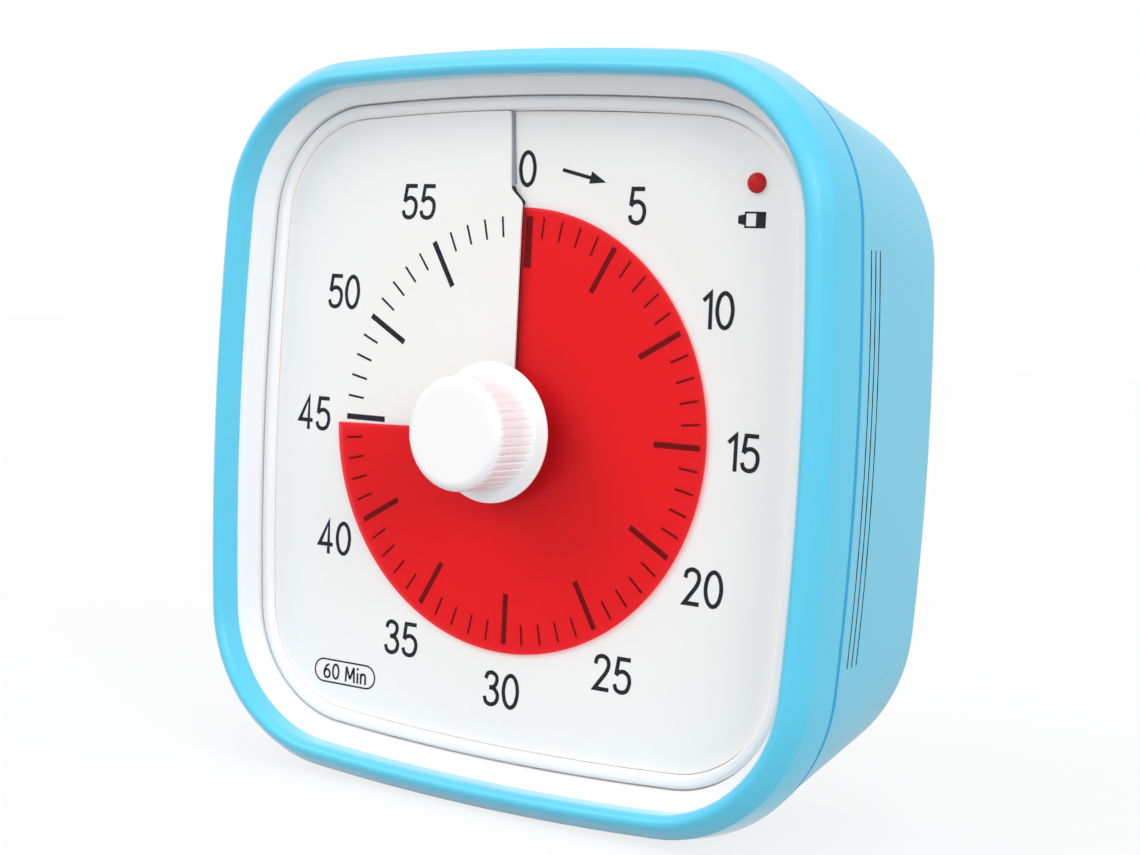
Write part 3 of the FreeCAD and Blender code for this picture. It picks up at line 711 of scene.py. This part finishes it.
def make_front_ring():
    """The ring, level where the timer stands, and a deeper blue strip in the seam behind it as
    painted shade.
    """
    corners = [
        (0.0, GROOVE_FRONT, GROOVE_ROUND),
        (RING_EDGE_IN, RING_EDGE, RING_EDGE_ROUND),
        (RING_BROW_IN, RING_BROW, RING_ROUND),
        (RING_CROWN_IN, RING_CROWN, RING_ROUND),
        (RING_LIP_IN, RING_LIP, RING_ROUND),
        (RING_LIP_IN, RING_FOOT, WALL_ROUND),
        (RING_WALL, RING_FOOT, WALL_ROUND),
        (RING_WALL, PARTING, FINE_ROUND),
        (GROOVE_DEPTH, PARTING, FINE_ROUND),
        (GROOVE_DEPTH, GROOVE_FRONT, WALL_ROUND),
    ]
    ring = outline_sweep("front_ring_skin", corners, "ring_blue", ("front_ring",))
    for vertex in ring.data.vertices:
        vertex.co.z = max(vertex.co.z, 0.0)
    # A deeper blue strip at the seam's floor, as painted shade
    floor = [
        (GROOVE_FLOOR, GROOVE_FRONT - OVERLAP, 0.0),
        (GROOVE_FLOOR, PARTING - GROOVE_GAP, 0.0),
        (GROOVE_DEPTH + OVERLAP, PARTING - GROOVE_GAP, 0.0),
        (GROOVE_DEPTH + OVERLAP, GROOVE_FRONT - OVERLAP, 0.0),
    ]
    outline_sweep("groove_painted_shade_floor", floor, "groove_painted_shade_blue")


def make_bezel():
    """The sloping band, the crease, the bead round the dial and the walls behind them."""
    inner = DIAL_EDGE_IN - BEZEL_WALL
    corners = [
        (BEZEL_OUTER_IN, BAND_START, FINE_ROUND),
        (BAND_START_IN, BAND_START, BAND_START_ROUND),
        (BAND_END_IN, BAND_END, BAND_END_ROUND),
        (BAND_END_IN + CREASE_DRAFT, CREASE, 0.0),
        (CREASE_IN, CREASE, 0.0),
        (CREASE_IN, BEAD + BEAD_FOOT, BEAD_FOOT_ROUND),
        (BEAD_IN - BEAD_ROUND, BEAD, BEAD_ROUND),
        (BEAD_IN + BEAD_ROUND, BEAD, BEAD_ROUND),
        (DIAL_EDGE_IN, DIAL_EDGE, FINE_ROUND),
        (DIAL_EDGE_IN, PARTING, FINE_ROUND),
        (inner, PARTING, FINE_ROUND),
        (inner, DIAL_EDGE + 0.8 * BEZEL_WALL, 0.3),
        (BAND_END_IN - 0.5 * BEZEL_WALL, BAND_END + 1.5 * BEZEL_WALL, 0.5),
        (BEZEL_OUTER_IN + BEZEL_WALL, BAND_START + BEZEL_WALL, 0.2),
        (BEZEL_OUTER_IN + BEZEL_WALL, PARTING, FINE_ROUND),
        (BEZEL_OUTER_IN, PARTING, FINE_ROUND),
    ]
    outline_sweep("bezel_skin", corners, "bezel_white", ("bezel_frame",))


def make_lens():
    """The flat window, bevelled at its edge and bored for the knob's shaft."""
    edge = [
        (LENS_IN + LENS_BEVEL, LENS_FRONT),
        (LENS_IN, LENS_FRONT + LENS_BEVEL),
        (LENS_IN, LENS_SEAT - LENS_BEVEL),
        (LENS_IN + LENS_BEVEL, LENS_SEAT),
    ]
    points = []
    for step in range(LENS_STEPS):
        degrees = 360 * step / LENS_STEPS
        points.append(polar(LENS_BORE, degrees, LENS_FRONT))
        points += [polar(outline_reach(degrees, inset), degrees, y) for inset, y in edge]
        points.append(polar(LENS_BORE, degrees, LENS_SEAT))
    faces = grid_faces(LENS_STEPS, len(edge) + 2, True, True)
    add_mesh("window_skin", points, faces, "lens_clear", "housing", ("front_lens",))


# The dial and the film

def screw_height(degrees):
    """Height of the dial's screw surface at a clockwise angle from twelve."""
    return DIAL_PITCH / 2 - DIAL_PITCH * degrees / 360


def smooth_step(low, high, value):
    """A soft step from 0 to 1."""
    share = min(1.0, max(0.0, (value - low) / (high - low)))
    return share * share * (3 - 2 * share)


def slit_line(z):
    """Sideways place of the left lip's edge at a height on the dial."""
    return -JOG_ACROSS * smooth_step(JOG_LOW, JOG_HIGH, z) - JOG_LEAN * max(0.0, z - JOG_HIGH)


def dial_degrees(x, z):
    """Clockwise angle from twelve; the sheet right of the slit counts on below nought."""
    degrees = math.degrees(math.atan2(x, z)) % 360
    if z > 0 and degrees > 180 and x > slit_line(z):
        degrees -= 360
    return degrees


def dial_height(x, z, degrees):
    """Height of the dial sheet: the screw surface in the middle, flat towards the bezel."""
    near = degrees if degrees <= 180 else degrees - 360
    lift = RIM_STEP if degrees <= 180 else -RIM_STEP
    rim = lift * math.exp(-(near / SLIT_FADE) ** 2)
    share = smooth_step(FLAT_FROM, FLAT_TO, math.hypot(x, z))
    return screw_height(degrees) * (1 - share) + rim * share


def dial_point(radius, degrees, drop):
    """A point of the dial sheet, sheared near the slit so that its edge has the jog."""
    near = degrees if degrees <= 180 else degrees - 360
    x, _, z = polar(radius, degrees, 0.0)
    lap = LAP_WIDTH if degrees <= 180 else 0.0
    x += (slit_line(z) - lap) * max(0.0, 1 - abs(near) / SLIT_FADE)
    turn = math.degrees(math.atan2(x, z))
    if degrees > 180:
        turn = 360 if turn > -1e-6 else turn + 360
    return (x, dial_height(x, z, turn) + drop, z)


def dial_radii(reach):
    """Distances from the axis at which the dial is drawn, close together at the jog."""
    low = JOG_LOW - JOG_MARGIN
    high = JOG_HIGH + JOG_MARGIN
    radii = [DIAL_BORE + (low - DIAL_BORE) * index / 12 for index in range(12)]
    radii += [low + (JOG_HIGH + 2 * JOG_MARGIN - JOG_LOW) * index / 24 for index in range(24)]
    return radii + [high + (reach - high) * index / 12 for index in range(13)]


def make_dial():
    """The dial sheet, slit from the middle to its top."""
    front = []
    back = []
    for step in range(DIAL_STEPS + 1):
        degrees = min(LAST_DEGREES, 360 * step / DIAL_STEPS)
        radii = dial_radii(outline_reach(degrees, DIAL_IN))
        front.append([dial_point(radius, degrees, 0.0) for radius in radii])
        back.append([dial_point(radius, degrees, DIAL_THICKNESS) for radius in radii])
    sheet_mesh("dial_sheet", front, back, "dial_white", "housing", ("dial_plate",))


def slit_painted_shade_wall(name, low, high, finish):
    """A wall below the left lip's edge, seen through the slit, coloured dark as painted shade."""
    front = []
    back = []
    steps = 40
    for step in range(steps + 1):
        z = low + (high - low) * step / steps
        edge = slit_line(z) - SLIT_GAP
        top = dial_height(edge, z, LAST_DEGREES) + DIAL_THICKNESS - SLIT_GAP
        foot = dial_height(edge, z, FIRST_DEGREES) - SLIT_GAP
        if z < JOG_LOW:
            foot = min(foot, top + SLIT_DEPTH)
        front.append([(edge, top, z), (edge, foot, z)])
        back.append([(edge - SLIT_WALL, top, z), (edge - SLIT_WALL, foot, z)])
    sheet_mesh(name, front, back, finish)


def slit_painted_shadow_strip(low, high):
    """A grey strip on the sheet beside the slit's wall: a painted shadow."""
    front = []
    back = []
    steps = 24
    for step in range(steps + 1):
        z = low + (high - low) * step / steps
        places = [slit_line(z) + SHADE_GAP + share * SHADE_WIDTH for share in (0, 0.5, 1)]
        front.append([surface_point(x, z, PRINT_LIFT) for x in places])
        back.append([surface_point(x, z, PRINT_SINK) for x in places])
    sheet_mesh("slit_painted_shadow_strip", front, back, "slit_painted_shade_grey")


def make_slit():
    top = HALF_HEIGHT - DIAL_IN - SLIT_END
    # Black painted shadow below the jog, grey painted shade above it, and a grey painted shadow
    # strip beside the slit
    slit_painted_shade_wall("slit_shadow", FILM_BORE + 3, JOG_HIGH, "ink")
    slit_painted_shade_wall("slit_painted_shade_wall", JOG_HIGH, top, "slit_painted_shade_grey")
    slit_painted_shadow_strip(JOG_HIGH + SHADE_START, top)


def make_film():
    """The disc of film, parallel to the dial sheet and set to the minutes shown."""
    front = []
    back = []
    radii = [FILM_BORE + (FILM_RADIUS - FILM_BORE) * index / 8 for index in range(9)]
    for step in range(FILM_STEPS + 1):
        degrees = SET_DEGREES - FILM_TURN * (1 - step / FILM_STEPS)
        y = screw_height(degrees) - FILM_OFFSET
        front.append([polar(radius, degrees, y) for radius in radii])
        back.append([polar(radius, degrees, y + FILM_THICKNESS) for radius in radii])
    sheet_mesh("red_film_disc", front, back, "film_red", "film", ("red_film",))


# The printed marks

def surface_point(x, z, lift):
    """A point at a height above the dial sheet."""
    return (x, dial_height(x, z, dial_degrees(x, z)) - lift, z)


def finely(line, longest=1.0):
    """The line with its long straight spans cut up."""
    cut = []
    for here, after in zip(line, line[1:]):
        steps = math.ceil((after - here).length / longest)
        cut += [here.lerp(after, step / steps) for step in range(steps)]
    return cut + [line[-1]]


def curve_through(points, closed=False, steps=8):
    """A smooth line through points, as Catmull-Rom spans."""
    count = len(points)
    line = []
    spans = count if closed else count - 1
    for index in range(spans):
        p1 = Vector(points[index])
        p2 = Vector(points[(index + 1) % count])
        p0 = Vector(points[index - 1]) if closed or index > 0 else p1 * 2 - p2
        p3 = Vector(points[(index + 2) % count]) if closed or index + 2 < count else p2 * 2 - p1
        for step in range(steps):
            t = step / steps
            line.append(0.5 * ((2 * p1) + (p2 - p0) * t + (2 * p0 - 5 * p1 + 4 * p2 - p3) * t * t
                               + (3 * p1 - p0 - 3 * p2 + p3) * t ** 3))
    if not closed:
        line.append(Vector(points[-1]))
    return line


GLYPHS = {
    "0": (0.53, [("loop", [(0.265, 1.0), (0.45, 0.86), (0.53, 0.5), (0.45, 0.14), (0.265, 0.0),
                           (0.08, 0.14), (0.0, 0.5), (0.08, 0.86)])]),
    "1": (0.26, [("line", [(0.0, 0.76), (0.25, 0.98), (0.25, -0.06)])]),
    "2": (0.52, [("curve", [(0.03, 0.74), (0.09, 0.93), (0.27, 1.0), (0.45, 0.92), (0.5, 0.73),
                            (0.42, 0.52), (0.25, 0.29)]),
                 ("line", [(0.25, 0.29), (0.03, 0.0), (0.54, 0.0)])]),
    "3": (0.5, [("curve", [(0.03, 0.79), (0.1, 0.95), (0.26, 1.0), (0.43, 0.91), (0.45, 0.73),
                           (0.35, 0.57), (0.18, 0.53)]),
                ("curve", [(0.18, 0.53), (0.38, 0.49), (0.5, 0.31), (0.44, 0.09), (0.25, 0.0),
                           (0.07, 0.06), (0.0, 0.23)])]),
    "4": (0.58, [("line", [(0.6, 0.25), (0.02, 0.25), (0.42, 1.0), (0.42, -0.06)])]),
    "5": (0.52, [("line", [(0.53, 1.0), (0.11, 1.0), (0.04, 0.5)]),
                 ("curve", [(0.04, 0.5), (0.15, 0.6), (0.33, 0.62), (0.49, 0.5), (0.52, 0.28),
                            (0.43, 0.07), (0.25, 0.0), (0.07, 0.06), (0.0, 0.22)])]),
    "6": (0.52, [("curve", [(0.45, 0.95), (0.25, 0.86), (0.08, 0.6), (0.0, 0.3), (0.08, 0.07),
                            (0.27, 0.0), (0.46, 0.08), (0.52, 0.3), (0.44, 0.51), (0.27, 0.57),
                            (0.09, 0.5), (0.01, 0.3)])]),
    "M": (0.76, [("line", [(0.0, -0.06), (0.05, 1.0)]), ("line", [(0.05, 1.0), (0.38, 0.16)]),
                 ("line", [(0.38, 0.16), (0.71, 1.0)]), ("line", [(0.71, 1.0), (0.76, -0.06)])]),
    "i": (0.06, [("line", [(0.03, -0.06), (0.03, 0.68)]), ("dot", [(0.03, 0.95)])]),
    "n": (0.4, [("line", [(0.0, -0.06), (0.0, 0.68)]),
                ("curve", [(0.0, 0.42), (0.09, 0.61), (0.22, 0.66), (0.36, 0.58), (0.4, 0.4),
                           (0.4, -0.06)])]),
    " ": (0.12, []),
}


def ring_of(centre, radius, count):
    """Points on a circle."""
    angles = [2 * math.pi * index / count for index in range(count)]
    return [centre + Vector((radius * math.cos(angle), radius * math.sin(angle)))
            for angle in angles]


class Print:
    """Flat ink shapes collected into one mesh that lies on the dial sheet."""

    def __init__(self):
        self.points = []
        self.faces = []

    def patch(self, corners):
        """A convex patch of ink given by its (x, z) corners."""
        first = len(self.points)
        count = len(corners)
        for lift in (PRINT_LIFT, PRINT_SINK):
            self.points += [surface_point(x, z, lift) for x, z in corners]
        self.faces.append(tuple(range(first, first + count)))
        self.faces.append(tuple(reversed(range(first + count, first + 2 * count))))
        for index in range(count):
            after = (index + 1) % count
            self.faces.append((first + index, first + after, first + count + after,
                               first + count + index))

    def ribbon(self, line, width, closed=False):
        """A band of ink of one width along a line of (x, z) points."""
        count = len(line)
        left = []
        right = []
        for index in range(count):
            here = Vector(line[index])
            before = Vector(line[index - 1]) if closed or index else None
            after = Vector(line[(index + 1) % count]) if closed or index + 1 < count else None
            into = (here - before).normalized() if before is not None else None
            away = (after - here).normalized() if after is not None else None
            into = into or away
            away = away or into
            across = Vector((-(into.y + away.y), into.x + away.x)).normalized()
            square = Vector((-into.y, into.x))
            reach = width / 2 / max(MITRE_LIMIT, across.dot(square))
            left.append(here + across * reach)
            right.append(here - across * reach)
        first = len(self.points)
        for lift in (PRINT_LIFT, PRINT_SINK):
            for index in range(count):
                self.points.append(surface_point(*left[index], lift))
                self.points.append(surface_point(*right[index], lift))
        back = 2 * count
        spans = count if closed else count - 1
        for index in range(spans):
            a = first + 2 * index
            b = first + 2 * ((index + 1) % count)
            self.faces.append((a, b, b + 1, a + 1))
            self.faces.append((a + back + 1, b + back + 1, b + back, a + back))
            self.faces.append((a, a + back, b + back, b))
            self.faces.append((a + 1, b + 1, b + back + 1, a + back + 1))
        if not closed:
            end = first + 2 * (count - 1)
            self.faces.append((first + 1, first + back + 1, first + back, first))
            self.faces.append((end, end + back, end + back + 1, end + 1))

    def number(self, text, x, z, height, stroke, gap):
        """Digits and letters centred on (x, z)."""
        scale = height - stroke
        widths = [GLYPHS[digit][0] for digit in text]
        spacing = gap + stroke / scale
        start = x - (sum(widths) + spacing * (len(text) - 1)) * scale / 2
        for digit, width in zip(text, widths):
            for kind, points in GLYPHS[digit][1]:
                shaped = [Vector((start + u * scale, z + (v - 0.5) * scale)) for u, v in points]
                if kind == "dot":
                    self.patch(ring_of(shaped[0], stroke * DOT_SIZE, 12))
                elif kind == "line":
                    self.ribbon(shaped, stroke)
                else:
                    closed = kind == "loop"
                    self.ribbon(curve_through(shaped, closed), stroke, closed)
            start += (width + spacing) * scale


def make_print():
    """The numbers, the arrow, the battery sign and the label."""
    ink = Print()
    for index in range(12):
        degrees = 30 * index
        x = NUMBER_CIRCLE * math.sin(math.radians(degrees)) - (0 if index else ZERO_SHIFT)
        z = NUMBER_CIRCLE * math.cos(math.radians(degrees))
        ink.number(str(5 * index), x, z, NUMBER_HEIGHT, NUMBER_STROKE, NUMBER_GAP)
    ink.ribbon(finely([Vector(end) for end in ARROW_SHAFT]), ARROW_WIDTH)
    ink.patch(ARROW_HEAD)
    battery(ink)
    ink.ribbon(pill_line(), PILL_STROKE, True)
    ink.number(PILL_TEXT, *PILL_CENTRE, PILL_TEXT_HEIGHT, PILL_TEXT_STROKE, PILL_TEXT_GAP)
    add_mesh("dial_print", ink.points, ink.faces, "ink", "housing")


def battery(ink):
    """The sign beside the lamp: a cell with a light middle."""
    low = BATTERY_LOW + BATTERY_STROKE / 2
    high = BATTERY_HIGH - BATTERY_STROKE / 2
    left, right = BATTERY_FRAME
    ink.patch(BATTERY_CAP)
    ink.ribbon([Vector((left, low)), Vector((left, high)), Vector((right, high)),
                Vector((right, low))], BATTERY_STROKE, True)
    left, right = BATTERY_BLOCK
    ink.patch([(left, BATTERY_LOW), (right, BATTERY_LOW), (right, BATTERY_HIGH),
               (left, BATTERY_HIGH)])


def pill_line():
    """The rounded frame of the label."""
    x, z = PILL_CENTRE
    line = []
    for side, start in ((1, -90), (-1, 90)):
        middle = x + side * (PILL_HALF_LENGTH - PILL_RADIUS)
        for step in range(PILL_STEPS + 1):
            angle = math.radians(start + 180 * step / PILL_STEPS)
            line.append(Vector((middle + PILL_RADIUS * math.cos(angle),
                                z + PILL_RADIUS * math.sin(angle))))
    return line


TICK_INPUTS = {"Count": "Int", "Every": "Int", "Major": "Float", "Outer": "Float",
               "Inner": "Float", "Width": "Float", "Thickness": "Float", "Pitch": "Float",
               "Front": "Float"}


def ticks_tree():
    """Ticks placed round the dial on its screw surface, all but the one at twelve."""
    tree = bpy.data.node_groups.new("minute_ticks", "GeometryNodeTree")
    face = tree.interface
    face.new_socket(name="Geometry", in_out="OUTPUT", socket_type="NodeSocketGeometry")
    inputs = {name: face.new_socket(name=name, in_out="INPUT", socket_type="NodeSocket" + kind)
              for name, kind in TICK_INPUTS.items()}
    source = tree.nodes.new("NodeGroupInput")
    given = {name: Value(tree, source.outputs[name]) for name in TICK_INPUTS}

    def made(kind, **sockets):
        return Value(tree, add_node(tree, kind, **sockets).outputs[0])

    index = made("GeometryNodeInputIndex")
    turn = index / given["Count"]
    angle = turn * (2 * math.pi)
    middle = (given["Outer"] + given["Inner"]) * 0.5
    centre = made("ShaderNodeCombineXYZ", X=middle * angle.math("SINE"),
                  Y=given["Front"] - given["Pitch"] * turn, Z=middle * angle.math("COSINE"))
    points = made("GeometryNodePoints", Count=given["Count"], Position=centre)
    size = made("ShaderNodeCombineXYZ", X=given["Width"], Y=given["Thickness"],
                Z=given["Outer"] - given["Inner"])
    bar = made("GeometryNodeMeshCube", Size=size)
    is_major = index.math("MODULO", given["Every"]).math("LESS_THAN", 0.5)
    wanted = is_major.math("COMPARE", given["Major"], 0.1)
    chosen = wanted * index.math("GREATER_THAN", 0.5)
    stamp = made("GeometryNodeInstanceOnPoints", Points=points, Instance=bar, Selection=chosen,
                 Rotation=made("ShaderNodeCombineXYZ", Y=angle))
    real = made("GeometryNodeRealizeInstances", Geometry=stamp)
    paint = made("GeometryNodeSetMaterial", Geometry=real, Material=FINISHES["ink"])
    tree.links.new(paint.socket, tree.nodes.new("NodeGroupOutput").inputs[0])
    return tree, inputs


def make_ticks():
    """The long and the short ticks, and the tick at twelve right of the slit."""
    tree, inputs = ticks_tree()
    for name, major, inner, width in (("major_ticks", 1.0, MAJOR_INNER, MAJOR_WIDTH),
                                      ("minor_ticks", 0.0, MINOR_INNER, MINOR_WIDTH)):
        holder = add_object(name + "_source", bpy.data.meshes.new(name))
        modifier = holder.modifiers.new("ticks", "NODES")
        modifier.node_group = tree
        values = (TICK_COUNT, MAJOR_EVERY, major, TICK_OUTER, inner, width, PRINT_LIFT * 2,
                  DIAL_PITCH, DIAL_PITCH / 2)
        for socket, value in zip(inputs.values(), values):
            modifier[socket.identifier] = value
        mesh = evaluated_mesh(holder)
        bpy.data.objects.remove(holder)
        for vertex in mesh.vertices:
            vertex.co = place(vertex.co)
        dress(add_object(name, mesh), "ink", "housing")
    first = Print()
    left, right = ZERO_TICK
    first.patch([(left, MAJOR_INNER), (right, MAJOR_INNER), (right, TICK_OUTER),
                 (left, TICK_OUTER)])
    add_mesh("zero_tick", first.points, first.faces, "ink", "housing")


# The knob and the lamp

def make_knob():
    """The ribbed knob and its flange, undercut behind."""
    corners = [
        (ON_AXIS, KNOB_FRONT, 0.0),
        (KNOB_GRIP, KNOB_FRONT, KNOB_FRONT_ROUND),
        (KNOB_GRIP, KNOB_FLANGE_FRONT, 0.5),
        (KNOB_FLANGE, KNOB_FLANGE_FRONT, 0.4),
        (KNOB_FLANGE, KNOB_FLANGE_EDGE, 0.25),
        (KNOB_FOOT, KNOB_REAR, 0.4),
        (ON_AXIS, KNOB_REAR, 0.0),
    ]
    path = []
    rounded = rounded_path(corners, 8)
    for index, point in enumerate(rounded):
        path.append(point)
        after = rounded[index + 1] if index + 1 < len(rounded) else point
        on_grip = abs(after.y - point.y) > 4 and abs(point.x - KNOB_GRIP) < 0.05
        if on_grip:
            for step in range(1, KNOB_GRIP_STEPS):
                path.append(point.lerp(after, step / KNOB_GRIP_STEPS))
    groove_end = KNOB_FLANGE_FRONT - RIB_END
    groove_start = KNOB_FRONT + 0.35 * KNOB_FRONT_ROUND

    def ribbed(radius, y, degrees):
        """The radius less the groove between two ribs, which fades out at both ends."""
        if radius < KNOB_GRIP - KNOB_FRONT_ROUND or y > groove_end + RIB_END_FADE:
            return radius
        phase = (degrees * KNOB_RIBS / 360) % 1
        groove = max(0.0, 1 - abs(phase - 0.5) / RIB_HALF_WIDTH)
        start = smooth_step(groove_start, groove_start + RIB_FADE, y)
        end = 1 - smooth_step(groove_end - RIB_END_FADE, groove_end + RIB_END_FADE, y)
        return radius - KNOB_GROOVE_DEPTH * groove ** RIB_POWER * (start * end)

    turned("knob_skin", path, "knob_white", "knob", ("control_knob",), KNOB_RIBS * RIB_STEPS,
           ribbed)


def make_lamp():
    """The domed lamp in the dial's corner."""
    base = dial_height(LED_X, LED_Z, dial_degrees(LED_X, LED_Z))
    angles = [math.radians(5 * step) for step in range(19)]
    path = [(LED_RADIUS * math.sin(angle), -LED_RISE * math.cos(angle)) for angle in angles]
    path[0] = (ON_AXIS, -LED_RISE)
    path += [(LED_RADIUS, base - OVERLAP), (LED_RADIUS, PARTING), (ON_AXIS, PARTING)]
    lamp = turned("lamp_skin", path, "led_red", "housing", ("low_battery_led",), 64)
    for vertex in lamp.data.vertices:
        vertex.co += Vector((LED_X, 0, LED_Z)) / 1000


def make_vent_strips():
    """A near-black strip sunk in each vent slot, which darkens the slot."""
    half = VENT_WIDTH / 2 + VENT_STRIP_MARGIN
    for name, side in (("right_vent_strip", 1), ("left_vent_strip", -1)):
        for number, middle in enumerate(VENTS_Y):
            front = []
            back = []
            for row in range(31):
                z = (VENT_LENGTH / 2 + VENT_STRIP_MARGIN) * (row / 15 - 1)
                bow = math.sqrt(SIDE_RADIUS ** 2 - z * z) - SIDE_RADIUS
                outer_row = []
                inner_row = []
                for y in (middle - half, middle, middle + half):
                    lean = (y - PARTING) * SHELL_LEAN
                    x = HALF_WIDTH + bow - SHELL_STEP_IN - lean - VENT_STRIP_SINK
                    outer_row.append((side * x, y, z))
                    inner_row.append((side * (x - VENT_STRIP_THICKNESS), y, z))
                front.append(outer_row)
                back.append(inner_row)
            sheet_mesh(f"{name}_{number + 1}", front, back, "vent_strip_black")


# Pieces that keep their solid's shape: body, finish and the angle up to which they look smooth

COPIED = {
    "rear_shell": ("housing", "shell_blue", 30.0),
    "rear_feet": ("housing", "rubber_grey", 35.0),
    "battery_door": ("door", "shell_blue", 30.0),
    "volume_slider": ("volume_slider", "slider_black", 35.0),
    "duration_slider": ("duration_slider", "slider_black", 35.0),
}


def paint_hidden_nodes():
    """The pieces inside the case get the finish of their slot."""
    slots = {row["node"]: row["material_slot"] for row in frame["record"]["subparts"]}
    for name, node in frame["nodes"].items():
        node.data.materials.clear()
        node.data.materials.append(FINISHES[slots[name]])


# Camera, lights and floor

def make_camera():
    """The photograph's point of view, aimed with the dial's centre at its place."""
    azimuth = math.radians(CAMERA_AZIMUTH)
    elevation = math.radians(CAMERA_ELEVATION)
    roll = math.radians(CAMERA_ROLL)
    back = Vector((math.sin(azimuth) * math.cos(elevation),
                   -math.cos(azimuth) * math.cos(elevation), math.sin(elevation)))
    right = Vector((math.cos(azimuth), math.sin(azimuth), 0))
    up = back.cross(right)
    tilted_right = right * math.cos(roll) + up * math.sin(roll)
    tilted_up = up * math.cos(roll) - right * math.sin(roll)
    matrix = Matrix((tilted_right, tilted_up, back)).transposed().to_4x4()
    matrix.translation = DIAL_CENTRE + back * CAMERA_DISTANCE / 1000
    data = bpy.data.cameras.new("photo_camera")
    data.sensor_width = SENSOR_WIDTH
    data.lens = SENSOR_WIDTH * FOCAL_PIXELS / PHOTO_WIDTH
    data.shift_x = (PHOTO_WIDTH / 2 - DIAL_PIXEL[0]) / PHOTO_WIDTH
    data.shift_y = (DIAL_PIXEL[1] - PHOTO_HEIGHT / 2) / PHOTO_WIDTH
    data.clip_start = 0.01
    camera = add_object("photo_camera", data)
    camera.matrix_world = matrix
    bpy.context.scene.camera = camera


def soft_sun(name, direction, strength):
    """Even soft light that comes from a direction."""
    data = bpy.data.lights.new(name, "SUN")
    data.energy = strength
    data.angle = math.radians(SUN_SPREAD)
    lamp = add_object(name, data)
    lamp.rotation_euler = Vector(direction).to_track_quat("Z", "Y").to_euler()


def make_studio():
    """The lamps, and a room that is seen white but lights the object less."""
    for name, (direction, strength) in LAMPS.items():
        soft_sun(name, direction, strength)
    world = bpy.data.worlds.new("white_room")
    bpy.context.scene.world = world
    world.use_nodes = True
    tree = world.node_tree
    tree.nodes.clear()
    output = tree.nodes.new("ShaderNodeOutputWorld")
    path = tree.nodes.new("ShaderNodeLightPath")
    camera, glossy, through = (Value(tree, path.outputs[name]) for name in (
        "Is Camera Ray", "Is Glossy Ray", "Is Transmission Ray"))
    room = add_node(tree, "ShaderNodeBackground", Color=(1, 1, 1, 1), Strength=ROOM_LIGHT)
    white = add_node(tree, "ShaderNodeBackground", Color=(1, 1, 1, 1), Strength=1.0)
    mix = blend(tree, camera.maximum(glossy).maximum(through), room, white)
    tree.links.new(mix.outputs[0], output.inputs["Surface"])


def make_floor():
    """A pale floor that keeps the object's shadow and throws little light back."""
    half = FLOOR_HALF
    mesh = bpy.data.meshes.new("studio_floor")
    mesh.from_pydata([(-half, -half, 0), (half, -half, 0), (half, half, 0), (-half, half, 0)],
                     [], [(0, 1, 2, 3)])
    floor = add_object("studio_floor", mesh)
    finish = Finish("floor_white")
    slow = finish.noise(3.0)
    pale = finish.mix_colour(slow, srgb(238, 238, 238), srgb(236, 236, 236))
    path = finish.node("ShaderNodeLightPath")
    base = finish.mix_colour(finish.out(path, "Is Diffuse Ray"), pale, srgb(184, 184, 184))
    matt = finish.principled(Base_Color=base, Roughness=0.9, Specular_IOR_Level=0.1)
    glow = finish.node("ShaderNodeEmission", Color=(1, 1, 1, 1), Strength=1.0)
    seen = finish.out(path, "Is Camera Ray").maximum(finish.out(path, "Is Glossy Ray"))
    mesh.materials.append(finish.finish(blend(finish.tree, seen * FLOOR_GLOW, matt, glow)))


make_camera()
paint_hidden_nodes()
make_front_ring()
make_bezel()
make_lens()
make_dial()
make_slit()
make_film()
make_print()
make_ticks()
make_knob()
make_lamp()
make_vent_strips()
for copied, (rides_on, coat_name, sharp_from) in COPIED.items():
    smooth_copy(copied, rides_on, coat_name, sharp_from)
make_studio()
make_floor()
bpy.context.scene.view_settings.view_transform = "Standard"
